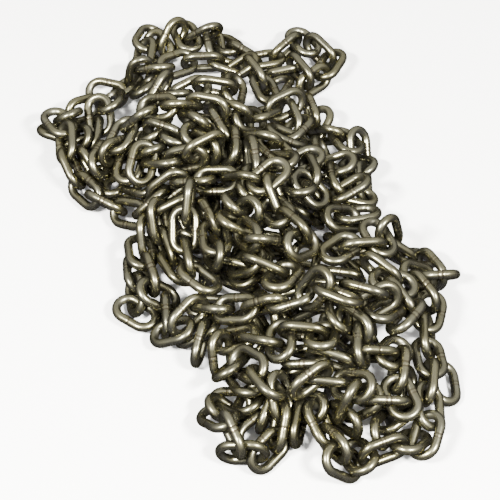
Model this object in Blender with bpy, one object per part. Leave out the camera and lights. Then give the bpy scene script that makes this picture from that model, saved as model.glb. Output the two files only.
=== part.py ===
# Heap of welded steel chain, as it lies on a level floor.
import math

import bpy
import numpy as np

# All lengths of the layout are in millimetres
WIRE = 10.0
LINK_LENGTH = 55.0
LINK_WIDTH = 35.8
BEND = (LINK_WIDTH - WIRE) / 2
STRAIGHT = (LINK_LENGTH - WIRE) / 2 - BEND
METRE = 0.001

# Where the photograph was taken from
ELEVATION = math.radians(50.0)
DISTANCE = 1740.0
FOCAL = 1618.0
MIDDLE = 250.0
RIGHT = np.array([1.0, 0.0, 0.0])
UP = np.array([0.0, math.sin(ELEVATION), math.cos(ELEVATION)])
FORWARD = np.array([0.0, math.cos(ELEVATION), -math.sin(ELEVATION)])
EYE = -FORWARD * DISTANCE

# The low mound that the upper links lie over, as a ridge between two places
RIDGE_FROM = (195.0, 150.0)
RIDGE_TO = (330.0, 340.0)
MOUND_RADIUS = 120.0
MOUND_TOP = 65.0

# Least distance between centrelines
APART = 10.8
BEARING = 10.0
BETWEEN_RUNS = 11.3
FLOOR = 5.6

# How hard the links are drawn to their readings, and how little sideways they make way for each other
HOLD = 0.3
SIDEWAYS = 0.6
TIGHT = 2.5

MOST_IN_RUN = 6

# One row a link, along each length of chain: its place in the photograph, the angle of its long
# side there, how open it looks (0 edge on, 1 face on) and how far its middle is above the ground
LENGTHS = [
    # top edge
    [(141, 56, 100, .35, 10), (146, 35, -70, .7, 20), (155, 42, 62, .3, 16), (172, 32, -85, .8, 22),
     (188, 34, 65, .8, 18), (202, 28, -25, .3, 24), (211, 41, 75, .4, 14), (225, 37, 42, .5, 18),
     (245, 53, 35, .3, 10)],
    # second row
    [(104, 89, 10, .9, 14), (125, 82, -42, .3, 16), (137, 69, -60, .5, 22), (150, 65, -10, .15, 30),
     (175, 61, -10, .8, 26), (200, 54, 2, .15, 34), (228, 66, 5, .6, 28), (243, 62, -20, .5, 24),
     (257, 67, 45, .3, 30), (265, 88, 50, .3, 24)],
    # under the second row
    [(236, 86, 85, .3, 8), (212, 81, 30, .15, 14), (188, 93, -5, .5, 10), (169, 90, -10, .2, 14),
     (156, 86, -55, .2, 10), (143, 80, -55, .2, 14)],
    # left lobe, upper turn
    [(112, 99, 60, .5, 10), (92, 117, -80, .85, 22), (81, 138, -52, .25, 14), (80, 155, -20, .2, 10),
     (103, 154, 8, .2, 14), (107, 167, 100, .2, 9)],
    # left lobe, outer edge, then the main run over the middle
    [(84, 106, -15, .3, 10), (66, 113, -8, .15, 18), (55, 120, 40, .7, 12), (62, 136, 95, .15, 16),
     (70, 167, 62, .4, 10), (89, 190, 42, .5, 10), (108, 199, 25, .3, 12), (127, 210, -20, .6, 12),
     (147, 199, -50, .2, 20), (163, 181, -35, .85, 24), (192, 186, -2, .2, 32), (220, 176, 5, .8, 28),
     (241, 179, 0, .2, 32), (268, 177, -50, .8, 30), (277, 197, 55, .5, 34), (274, 211, 50, .85, 26),
     (296, 225, 45, .25, 32), (302, 245, -20, .7, 26)],
    [(54, 133, 15, .4, 7), (76, 142, 10, .3, 7)],
    [(84, 166, 68, .2, 7), (98, 186, 45, .4, 6), (116, 191, 25, .4, 8), (137, 187, 0, .3, 12)],
    # inner left, over to the ring at the upper middle
    [(115, 149, -60, .3, 12), (122, 133, -55, .7, 18), (142, 122, -30, .2, 26), (155, 109, -5, .75, 24),
     (180, 105, -25, .2, 30), (208, 108, 0, .7, 28), (217, 121, 43, .15, 36), (229, 150, 85, .3, 20)],
    [(146, 134, 80, .25, 14), (167, 131, 30, .3, 18), (183, 140, 0, .2, 30), (206, 147, 65, .7, 26)],
    [(139, 161, -60, .8, 18), (158, 160, 20, .3, 18), (183, 157, -12, .5, 24), (200, 143, 10, .5, 18)],
    [(128, 166, -60, .6, 8), (147, 150, -30, .4, 12)],
    [(188, 119, 35, .3, 20), (200, 133, -5, .5, 16)],
    # centre left
    [(187, 201, 93, .1, 24), (183, 229, 90, .95, 22), (185, 258, 92, .1, 24), (199, 280, 45, .7, 16)],
    [(170, 196, -30, .2, 18), (155, 221, 88, .35, 22), (163, 249, 75, .3, 14), (173, 270, 50, .3, 10)],
    [(145, 236, 85, .4, 14), (135, 251, -70, .6, 10), (150, 271, 72, .5, 16), (152, 300, 30, .7, 14),
     (157, 321, 60, .12, 18), (171, 337, -25, .4, 12), (186, 317, -40, .8, 20), (210, 315, -8, .15, 30),
     (237, 311, 10, .7, 26), (267, 309, -3, .15, 34), (290, 299, -10, .4, 22), (320, 290, -60, .8, 30),
     (341, 296, 22, .25, 32)],
    [(135, 277, 80, .3, 7), (137, 297, 85, .4, 9), (140, 316, 10, .7, 8)],
    [(208, 222, 65, .1, 26), (222, 238, 60, .5, 18), (211, 250, 62, .15, 22)],
    [(243, 204, -40, .5, 16), (247, 219, 0, .6, 20), (234, 222, 20, .15, 30), (246, 238, 45, .5, 22),
     (272, 241, 12, .2, 30)],
    [(232, 255, 20, .6, 28), (241, 265, -10, .8, 24), (264, 266, 25, .2, 28), (285, 280, -28, .2, 26)],
    [(193, 331, -40, .35, 12), (201, 344, -65, .15, 16)],
    # the ring row across the lower middle
    [(220, 361, 80, .35, 12), (236, 342, -5, .7, 18), (260, 346, 5, .15, 26), (282, 345, 80, .6, 18),
     (311, 334, 22, .2, 26), (324, 337, -80, .8, 24)],
    [(340, 318, 80, .4, 16), (356, 327, 45, .6, 22), (361, 347, 85, .15, 26), (384, 357, -2, .15, 26),
     (394, 356, 82, .85, 20), (400, 379, 82, .15, 22), (402, 411, 62, .6, 18), (387, 408, 5, .3, 12),
     (367, 416, 5, .2, 18)],
    # lower left lobe
    [(233, 376, -50, .2, 14), (250, 370, 30, .85, 22), (265, 388, 50, .15, 26), (278, 404, 80, .5, 14),
     (280, 427, 90, .2, 14), (270, 453, -55, .6, 10), (240, 459, 5, .6, 12), (233, 439, 65, .2, 16),
     (214, 423, 60, .6, 9), (232, 417, 65, .2, 14), (229, 409, -10, .85, 18), (253, 403, 105, .4, 16),
     (249, 386, 40, .3, 14)],
    [(264, 410, 92, .2, 14), (260, 441, -40, .6, 9)],
    # bottom
    [(310, 383, -40, .2, 14), (331, 390, 0, .15, 24), (357, 390, 3, .85, 24), (352, 408, 112, .2, 28),
     (352, 429, -20, .6, 12)],
    [(305, 360, -5, .2, 16), (334, 361, 20, .4, 12)],
    # right strand, round the bottom edge
    [(342, 248, -28, .6, 28), (366, 248, -12, .25, 32), (381, 237, 55, .6, 24), (394, 234, 65, .6, 16),
     (399, 252, 20, .3, 20), (418, 262, 25, .4, 12), (436, 267, 50, .5, 10), (440, 277, 5, .3, 14),
     (422, 280, 25, .6, 10), (428, 297, 40, .4, 12), (433, 313, 90, .75, 7), (430, 338, 88, .5, 12),
     (433, 363, 90, .75, 7), (428, 386, 88, .6, 12), (432, 409, 90, .75, 7), (430, 440, -65, .7, 10),
     (413, 443, -18, .25, 16), (385, 457, -10, .5, 12), (367, 455, 15, .7, 14), (347, 466, 15, .7, 9),
     (340, 446, 68, .15, 18), (322, 428, 75, .6, 12), (306, 412, 0, .7, 16), (298, 427, 90, .15, 16)],
    [(448, 387, 80, .45, 6)],
    [(410, 395, 78, .5, 8), (397, 424, -50, .5, 8), (385, 441, 3, .3, 7)],
    # upper right lobe
    [(262, 57, 5, .3, 10), (286, 43, -35, .4, 16), (305, 37, 60, .6, 14), (322, 45, 45, .7, 16),
     (331, 62, -50, .4, 14), (317, 78, -35, .6, 10), (300, 67, 60, .5, 20), (282, 68, -6, .15, 24)],
    [(231, 107, 5, .3, 24), (250, 119, 0, .6, 18), (262, 111, -25, .15, 30), (287, 102, -30, .8, 24),
     (289, 115, 75, .55, 26), (299, 128, -60, .7, 18), (285, 133, 5, .2, 14)],
    [(279, 84, -45, .3, 18)],
    [(313, 111, 75, .2, 22), (318, 120, -55, .6, 18), (332, 134, -25, .15, 24), (347, 142, 38, .15, 22),
     (360, 147, 65, .6, 16), (359, 164, -5, .35, 20), (367, 182, 82, .4, 12), (357, 196, 20, .4, 12),
     (362, 214, 5, .7, 20), (343, 221, -20, .3, 16)],
    [(323, 152, 85, .3, 12), (337, 163, -20, .7, 24), (340, 180, 80, .25, 24), (352, 188, -30, .3, 18)],
    [(263, 138, 5, .15, 30), (275, 149, 35, .6, 22), (279, 164, 12, .25, 20)],
    [(304, 158, -25, .7, 24), (312, 170, 60, .3, 22), (309, 194, 50, .85, 26), (297, 188, 5, .3, 24)],
    [(251, 155, 90, .2, 14), (249, 189, 95, .3, 16)],
    # right middle
    [(383, 269, 30, .7, 24), (398, 289, 50, .8, 20), (404, 299, 38, .3, 28), (407, 325, -55, .15, 14)],
    [(366, 290, 5, .2, 28), (380, 304, -20, .8, 22), (395, 313, -20, .3, 12)],
]


def dot(a, b):
    return a[..., 0] * b[..., 0] + a[..., 1] * b[..., 1] + a[..., 2] * b[..., 2]


def cross(a, b):
    return np.stack([
        a[..., 1] * b[..., 2] - a[..., 2] * b[..., 1],
        a[..., 2] * b[..., 0] - a[..., 0] * b[..., 2],
        a[..., 0] * b[..., 1] - a[..., 1] * b[..., 0],
    ], axis=-1)


def size(a):
    return np.sqrt(dot(a, a))


def unit(a):
    return a / np.maximum(size(a), 1e-9)[..., None]


def place_at(u, v, height):
    """The point at this height that the photograph shows at u, v."""
    ray = FORWARD + RIGHT * ((u - MIDDLE) / FOCAL) + UP * ((MIDDLE - v) / FOCAL)
    return EYE + ray * ((EYE[2] - height) / -ray[2])


RIDGE_A = place_at(*RIDGE_FROM, 0.0)
RIDGE_B = place_at(*RIDGE_TO, 0.0)


def mound(x, y):
    """Height of the mound."""
    run_x = RIDGE_B[0] - RIDGE_A[0]
    run_y = RIDGE_B[1] - RIDGE_A[1]
    along = ((x - RIDGE_A[0]) * run_x + (y - RIDGE_A[1]) * run_y) / (run_x * run_x + run_y * run_y)
    along = np.clip(along, 0, 1)
    off_x = x - RIDGE_A[0] - along * run_x
    off_y = y - RIDGE_A[1] - along * run_y
    share = (off_x * off_x + off_y * off_y) / (MOUND_RADIUS * MOUND_RADIUS)
    return MOUND_TOP * np.maximum(0.0, 1.0 - share)


def centreline(arc_steps, straight_steps):
    """The middle of the wire of one link, as closed x, y points."""
    points = []
    for side in (1, -1):
        for k in range(arc_steps + 1):
            t = -math.pi / 2 + math.pi * k / arc_steps
            points.append((side * (STRAIGHT + BEND * math.cos(t)), side * BEND * math.sin(t)))
        for k in range(1, straight_steps):
            points.append((side * STRAIGHT * (1 - 2 * k / straight_steps), side * BEND))
    return np.array(points)


def crossings(c, axis, across, normal, lines):
    """Signed times that each closed line passes through the hole of the link at c."""
    rel = lines - c
    x, y, z = dot(rel, axis), dot(rel, across), dot(rel, normal)
    x1, y1, z1 = np.roll(x, -1, -1), np.roll(y, -1, -1), np.roll(z, -1, -1)
    change = (z < 0) != (z1 < 0)
    t = z / np.where(change, z - z1, 1.0)
    at_x = x + (x1 - x) * t
    at_y = y + (y1 - y) * t
    off = np.maximum(np.abs(at_x) - STRAIGHT, 0)
    inside = change & (off * off + at_y * at_y < BEND * BEND)
    return np.where(inside, np.where(z1 > z, 1, -1), 0).sum(-1)


class Heap:
    """Place and attitude of every link: c, axis (long side), across and normal."""

    def __init__(self, lengths):
        rows = [row for length in lengths for row in length]
        self.n = len(rows)
        self.starts = [0]
        for length in lengths:
            self.starts.append(self.starts[-1] + len(length))
        self.lifts = [sum(row[4] for row in length) / len(length) for length in lengths]
        angle = [math.radians(row[2]) for row in rows]
        self.open = np.array([row[3] for row in rows], float)
        self.c = np.array([self.first_place(row) for row in rows])
        rays = np.array([FORWARD + RIGHT * ((row[0] - MIDDLE) / FOCAL) + UP * ((MIDDLE - row[1]) / FOCAL)
                         for row in rows])
        self.away = unit(rays)
        level = unit(RIGHT - self.away[:, 0:1] * self.away)
        down = cross(self.away, level)
        down = np.where((dot(down, UP) > 0)[:, None], -down, down)
        self.level = level
        self.down = down
        cosine = np.array([math.cos(a) for a in angle])
        sine = np.array([math.sin(a) for a in angle])
        self.cosine = cosine
        self.sine = sine
        self.seen_axis = unit(level * cosine[:, None] + down * sine[:, None])
        self.linked = np.zeros((self.n, self.n), bool)
        for a, b in zip(self.starts, self.starts[1:]):
            for i in range(a, b - 1):
                self.linked[i, i + 1] = True
                self.linked[i + 1, i] = True
        self.find_runs()

    def first_place(self, row):
        u, v, lift = row[0], row[1], row[4]
        p = place_at(u, v, 15.0)
        for _ in range(2):
            p = place_at(u, v, float(mound(p[0], p[1])) + lift)
        return p

    def find_runs(self):
        """Each length cut into runs of at most MOST_IN_RUN links, and how close linked ones may come."""
        self.runs = []
        self.least_linked = np.full((self.n, self.n), BEARING)
        self.length_of_run = []
        for k in range(len(self.starts) - 1):
            a, b = self.starts[k], self.starts[k + 1]
            pieces = -(-(b - a) // MOST_IN_RUN)
            ends = [a + (b - a) * m // pieces for m in range(pieces + 1)]
            for start, end in zip(ends, ends[1:]):
                self.runs.append(list(range(start, end)))
                self.length_of_run.append(k)
            for end in ends[1:-1]:
                self.least_linked[end - 1, end] = BETWEEN_RUNS
                self.least_linked[end, end - 1] = BETWEEN_RUNS

    def space_centres(self, rounds=300, far=32.0, near=14.0):
        """Neighbours of a length brought within a pitch of each other, mostly in depth."""
        i = np.array([a for a in range(self.n - 1) if self.linked[a, a + 1]])
        j = i + 1
        home = self.c.copy()
        for _ in range(rounds):
            gap = self.c[j] - self.c[i]
            length = size(gap)
            push = gap * ((length - np.clip(length, near, far)) / length * 0.5)[:, None]
            move = np.zeros_like(self.c)
            for k in range(3):
                move[:, k] += np.bincount(i, push[:, k], self.n)
                move[:, k] -= np.bincount(j, push[:, k], self.n)
            deep = dot(move, self.away)[:, None] * self.away
            self.c = self.c + deep * 0.9 + (move - deep) * 0.5
            back = home - self.c
            deep = dot(back, self.away)[:, None] * self.away
            self.c = self.c + deep * 0.01 + (back - deep) * 0.06
            self.c[:, 2] = np.maximum(self.c[:, 2], mound(self.c[:, 0], self.c[:, 1]) + FLOOR)
            self.c = np.round(self.c, 5)

    def attitudes(self, i):
        """Axes and normals near the reading of link i, with what each costs."""
        ray = -self.away[i]
        axes, normals, costs = [], [], []
        for turn in TURNS:
            c, s = math.cos(turn), math.sin(turn)
            flat = (self.level[i] * (self.cosine[i] * c - self.sine[i] * s)
                    + self.down[i] * (self.sine[i] * c + self.cosine[i] * s))
            for slope in SLOPES:
                axis = flat * math.cos(slope) + ray * math.sin(slope)
                seen = unit(ray - dot(ray, axis) * axis)
                beside = cross(axis, seen)
                for roll in ROLLS:
                    normal = seen * math.cos(roll) + beside * math.sin(roll)
                    opened = abs(float(dot(normal, ray)))
                    axes.append(axis)
                    normals.append(normal)
                    costs.append((turn / 0.35) ** 2 + ((opened - self.open[i]) / 0.22) ** 2
                                 + (axis[2] / 0.6) ** 2)
        costs = np.array(costs)
        keep = np.argsort(np.round(costs, 9), kind="stable")[:200]
        return np.array(axes)[keep], np.array(normals)[keep], costs[keep]

    def thread(self):
        """Lays each length link by link, in the attitude nearest its reading that is threaded and clear."""
        coarse = centreline(4, 2)
        fine = centreline(6, 2)
        axis = np.zeros((self.n, 3))
        normal = np.zeros((self.n, 3))
        across = np.zeros((self.n, 3))
        centre = self.c.copy()
        placed = []
        order = sorted(range(len(self.lifts)), key=lambda k: self.lifts[k])
        for k in order:
            for i in range(self.starts[k], self.starts[k + 1]):
                ray = -self.away[i]
                ax, nm, cost_of = self.attitudes(i)
                side = cross(nm, ax)
                shape = coarse[None, :, 0, None] * ax[:, None] + coarse[None, :, 1, None] * side[:, None]
                before = i - 1 if i > self.starts[k] else None
                pull = np.zeros(3)
                if before is not None:
                    pull = unit(centre[before] - self.c[i])
                    pull = pull - dot(pull, ray) * ray
                lines, costs, moves = [], [], []
                for depth in DEPTHS:
                    for drawn in DRAWN:
                        move = ray * depth + pull * drawn
                        line = self.c[i] + move + shape
                        low = line[:, :, 2] - mound(line[:, :, 0], line[:, :, 1]) - FLOOR
                        low = np.minimum(low.min(1), 0)
                        cost = cost_of + (depth / 14.0) ** 2 + (drawn / 8.0) ** 2 + (low / 3.0) ** 2
                        if before is not None:
                            through = crossings(centre[before], axis[before], across[before],
                                                normal[before], line)
                            cost = cost + np.where(np.abs(through) == 1, 0.0, 400.0)
                        lines.append(line)
                        costs.append(cost)
                        moves.append(np.repeat(move[None], len(cost), 0))
                costs = np.concatenate(costs)
                best = np.argsort(np.round(costs, 6), kind="stable")[:700]
                lines = np.concatenate(lines)[best]
                costs = costs[best]
                moves = np.concatenate(moves)[best]
                for j in placed:
                    if float(size(centre[j] - self.c[i])) > 95:
                        continue
                    other = centre[j] + fine[:, 0, None] * axis[j] + fine[:, 1, None] * across[j]
                    gap = lines[:, :, None] - other[None, None]
                    gap = np.sqrt(dot(gap, gap).min((1, 2)))
                    want, soft = (10.0, 0.8) if self.linked[i, j] else (11.5, 1.5)
                    costs = costs + (np.maximum(want - gap, 0) / soft) ** 2
                    if not self.linked[i, j]:
                        through = crossings(centre[j], axis[j], across[j], normal[j], lines)
                        costs = costs + 25.0 * np.abs(through)
                m = int(np.argmin(np.round(costs, 6)))
                pick = best[m] % len(cost_of)
                centre[i] = np.round(self.c[i] + moves[m], 5)
                axis[i] = ax[pick]
                normal[i] = nm[pick]
                across[i] = cross(normal[i], axis[i])
                placed.append(i)
        self.c = centre
        self.axis = np.round(axis, 7)
        self.normal = np.round(normal, 7)
        self.square()

    def square(self):
        self.axis = unit(self.axis)
        self.normal = unit(self.normal - dot(self.normal, self.axis)[:, None] * self.axis)
        self.across = cross(self.normal, self.axis)

    def points(self, line):
        return (self.c[:, None, :] + line[None, :, 0, None] * self.axis[:, None, :]
                + line[None, :, 1, None] * self.across[:, None, :])

    def find_pairs(self):
        """Pairs of wire pieces near enough to touch soon."""
        here = self.points(self.line)
        middle = (here + np.roll(here, -1, axis=1)) / 2
        gap = self.c[:, None, :] - self.c[None, :, :]
        first, second = np.nonzero(np.triu(dot(gap, gap) < 3600.0, 1))
        gap = middle[first][:, :, None, :] - middle[second][:, None, :, :]
        pair, piece_i, piece_j = np.nonzero(dot(gap, gap) < 420.0)
        i, j = first[pair], second[pair]
        self.pairs = (i, j, piece_i, piece_j)
        self.least = np.where(self.linked[i, j], self.least_linked[i, j], APART)

    def nearest(self, here):
        """Nearest points of each pair of wire pieces, and their distance."""
        i, j, piece_i, piece_j = self.pairs
        onward = np.roll(here, -1, axis=1)
        a0, b0 = here[i, piece_i], here[j, piece_j]
        d1, d2 = onward[i, piece_i] - a0, onward[j, piece_j] - b0
        r = a0 - b0
        a, e, f = dot(d1, d1), dot(d2, d2), dot(d2, r)
        c, b = dot(d1, r), dot(d1, d2)
        spread = a * e - b * b
        s = np.where(spread > 1e-9, np.clip((b * f - c * e) / np.maximum(spread, 1e-9), 0, 1), 0.5)
        t = (b * s + f) / e
        s = np.where(t < 0, np.clip(-c / a, 0, 1), np.where(t > 1, np.clip((b - c) / a, 0, 1), s))
        t = np.clip(t, 0, 1)
        on_i = a0 + d1 * s[:, None]
        on_j = b0 + d2 * t[:, None]
        return on_i, on_j, np.maximum(size(on_i - on_j), 1e-6)

    def push_apart(self):
        """One step that clears the wires of each other, of the floor and of the mound."""
        here = self.points(self.line)
        on_i, on_j, gap = self.nearest(here)
        worst = np.zeros(self.n)
        np.maximum.at(worst, self.pairs[0], self.least - gap)
        np.maximum.at(worst, self.pairs[1], self.least - gap)
        self.ease = np.clip(TIGHT - worst, 0.0, 1.0)[:, None]
        hit = gap < self.least
        i, j = self.pairs[0][hit], self.pairs[1][hit]
        way = (on_i - on_j)[hit] / gap[hit][:, None]
        lever_i = cross(on_i[hit] - self.c[i], way)
        lever_j = cross(on_j[hit] - self.c[j], way)
        share = (self.least - gap)[hit] / (2 + (dot(lever_i, lever_i) + dot(lever_j, lever_j)) / GYRATION)
        ground = np.maximum(mound(here[:, :, 0], here[:, :, 1]), 0) + FLOOR
        sink = ground - here[:, :, 2]
        low, at = np.nonzero(sink > 0)
        arm = here[low, at] - self.c[low]
        lever_up = np.stack([arm[:, 1], -arm[:, 0], np.zeros(len(low))], axis=-1)
        rise = sink[low, at] / (1 + dot(lever_up, lever_up) / GYRATION)
        count = np.bincount(i, minlength=self.n) + np.bincount(j, minlength=self.n)
        count = count + np.bincount(low, minlength=self.n)
        move = np.zeros((self.n, 3))
        turn = np.zeros((self.n, 3))
        for k in range(3):
            move[:, k] = np.bincount(i, way[:, k] * share, self.n) - np.bincount(j, way[:, k] * share, self.n)
            turn[:, k] = (np.bincount(i, lever_i[:, k] * share, self.n)
                          - np.bincount(j, lever_j[:, k] * share, self.n)
                          + np.bincount(low, lever_up[:, k] * rise, self.n)) / GYRATION
        move[:, 2] += np.bincount(low, rise, self.n)
        part = (1.3 / np.maximum(count, 1))[:, None]
        deep = dot(move, self.away)[:, None] * self.away
        self.shift((deep + (move - deep) * SIDEWAYS) * part, turn * part)

    def shift(self, move, turn):
        move = move * np.minimum(1, 1.5 / np.maximum(size(move), 1e-9))[:, None]
        turn = turn * np.minimum(1, 0.06 / np.maximum(size(turn), 1e-9))[:, None]
        self.c = np.round(self.c + move, 5)
        self.axis = np.round(self.axis + cross(turn, self.axis), 7)
        self.normal = np.round(self.normal + cross(turn, self.normal), 7)
        self.square()

    def draw_back(self):
        """Part of the way back to the place and the attitude that were read, less where links are jammed."""
        rel = self.c - EYE
        back = EYE + self.away * dot(rel, self.away)[:, None] - self.c
        ray = unit(EYE - self.c)
        deep = np.clip(dot(self.axis, ray), -0.75, 0.75)
        sign = np.where(dot(self.axis, self.seen_axis) < 0, -1.0, 1.0)
        want = unit(self.seen_axis * (sign * np.sqrt(1 - deep * deep))[:, None] + ray * deep[:, None])
        seen = unit(ray - dot(ray, want)[:, None] * want)
        most = np.sqrt(np.maximum(1 - dot(ray, want) ** 2, 1e-6))
        cosine = np.clip(self.open / most, 0, 1)
        sine = np.sqrt(1 - cosine * cosine)
        beside = cross(want, seen)
        goal = (seen * (np.where(dot(self.normal, seen) < 0, -1.0, 1.0) * cosine)[:, None]
                + beside * (np.where(dot(self.normal, beside) < 0, -1.0, 1.0) * sine)[:, None])
        turn = (cross(self.axis, want) + cross(self.normal, goal)) * 0.5
        self.shift(back * HOLD * self.ease, turn * HOLD * self.ease)

    def take(self, lengths):
        """Adds these lengths, and returns the numbers of their links and those of every second link."""
        first = len(self.c)
        links = [link for length in lengths for link in length]
        self.c = np.concatenate([self.c, [link[0] for link in links]])
        self.axis = np.concatenate([self.axis, [link[1] for link in links]])
        self.across = np.concatenate([self.across, [link[2] for link in links]])
        self.normal = np.concatenate([self.normal, [link[3] for link in links]])
        seconds = []
        at = first
        for length in lengths:
            seconds.extend(range(at + 1, at + len(length), 2))
            at += len(length)
        return list(range(first, at)), seconds

    def settle(self, rounds, quiet):
        """Draws the links toward their readings and down, then only clears them of each other."""
        self.line = centreline(8, 2)
        self.ease = np.ones((self.n, 1))
        for k in range(rounds + quiet):
            if k % 8 == 0:
                self.find_pairs()
            if k < rounds:
                self.draw_back()
                self.shift(self.away * 0.08, np.zeros((self.n, 3)))
            for _ in range(3):
                self.push_apart()


GYRATION = 300.0
TURNS = [math.radians(a) for a in (0, 15, -15, 32, -32, 55, -55)]
SLOPES = [math.radians(a) for a in range(-60, 61, 15)]
ROLLS = [math.radians(a) for a in range(0, 180, 15)]
DEPTHS = [float(a) for a in range(-28, 40, 4)]
DRAWN = [0.0, 4.0, 8.0]


def lay_heap():
    heap = Heap(LENGTHS)
    heap.space_centres()
    heap.thread()
    heap.settle(160, 160)
    return heap


# Places where the photograph shows the ground through the heap
OPEN_PLACES = [
    (102, 90), (115, 97), (129, 88), (131, 110), (87, 115), (57, 123), (66, 146), (96, 143), (77, 168),
    (97, 165), (147, 30), (147, 43), (220, 40), (293, 41), (300, 68), (305, 78), (253, 95), (361, 177),
    (391, 325), (385, 380), (273, 362), (432, 313), (432, 338), (432, 365), (430, 410), (411, 340),
    (411, 355), (411, 370), (122, 177), (172, 285), (284, 445), (410, 325), (418, 425),
]
OPEN_RADIUS = 13.0
PICTURE = 500

# The floor under the heap, as square cells, and how far from a wire a lower link may reach
CELL = 3.0
CELLS = 300
COVER = 9.0
UNDERNEATH = 9.0

# Least distances between a lower link and the others, and the most at which it still rests on one
LOWER_APART = 10.4
NEXT_APART = 10.1
RESTING = 11.5
FOOT_REACH = 0.93
MOST_LOWER = 7
LOWER_LINKS = 57


def pixels_of(points):
    """Where points stand in the photograph."""
    rel = points - EYE
    depth = dot(rel, FORWARD)
    return MIDDLE + FOCAL * dot(rel, RIGHT) / depth, MIDDLE - FOCAL * dot(rel, UP) / depth


def on_floor(wire):
    """Whether part of this wire lies on the floor, well under the heap."""
    rim = MOUND_TOP * (1 - FOOT_REACH * FOOT_REACH)
    return bool(((wire[:, 2] < FLOOR + 1.0) & (mound(wire[:, 0], wire[:, 1]) > rim + 4)).any())


def picture_cells(points):
    u, v = pixels_of(points)
    return (np.clip(np.round(u).astype(int), 0, PICTURE - 1),
            np.clip(np.round(v).astype(int), 0, PICTURE - 1))


def spread(mask, reach):
    """Every cell within this reach of a cell that is set."""
    wide = np.zeros((mask.shape[0] + 2 * reach, mask.shape[1] + 2 * reach), bool)
    for dx in range(-reach, reach + 1):
        for dy in range(-reach, reach + 1):
            if dx * dx + dy * dy <= reach * reach + 1:
                wide[reach + dx:reach + dx + mask.shape[0], reach + dy:reach + dy + mask.shape[1]] |= mask
    return wide[reach:-reach, reach:-reach]


class Room:
    """How far each place in and round the heap is from the nearest wire, kept in cells."""

    def __init__(self):
        self.low = np.array([-270.0, -370.0, 0.0])
        self.cell = 2.5
        self.shape = (216, 296, 52)
        self.reach = 6
        self.gap = np.full(self.shape, 20.0, np.float32)

    def add(self, points):
        """Wires through these points."""
        cells = np.arange(2 * self.reach + 1)
        for p in points:
            first = np.round((p - self.low) / self.cell).astype(int) - self.reach
            a, b, c = np.clip(first, 0, np.array(self.shape) - len(cells))
            x = (cells + a) * self.cell + self.low[0] - p[0]
            y = (cells + b) * self.cell + self.low[1] - p[1]
            z = (cells + c) * self.cell + self.low[2] - p[2]
            far = np.sqrt((x * x)[:, None, None] + (y * y)[None, :, None] + (z * z)[None, None, :])
            part = self.gap[a:a + len(cells), b:b + len(cells), c:c + len(cells)]
            np.minimum(part, far, out=part)

    def at(self, points):
        cell = np.round((points - self.low) / self.cell).astype(int)
        cell = np.clip(cell, 0, np.array(self.shape) - 1)
        return self.gap[cell[..., 0], cell[..., 1], cell[..., 2]]


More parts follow.
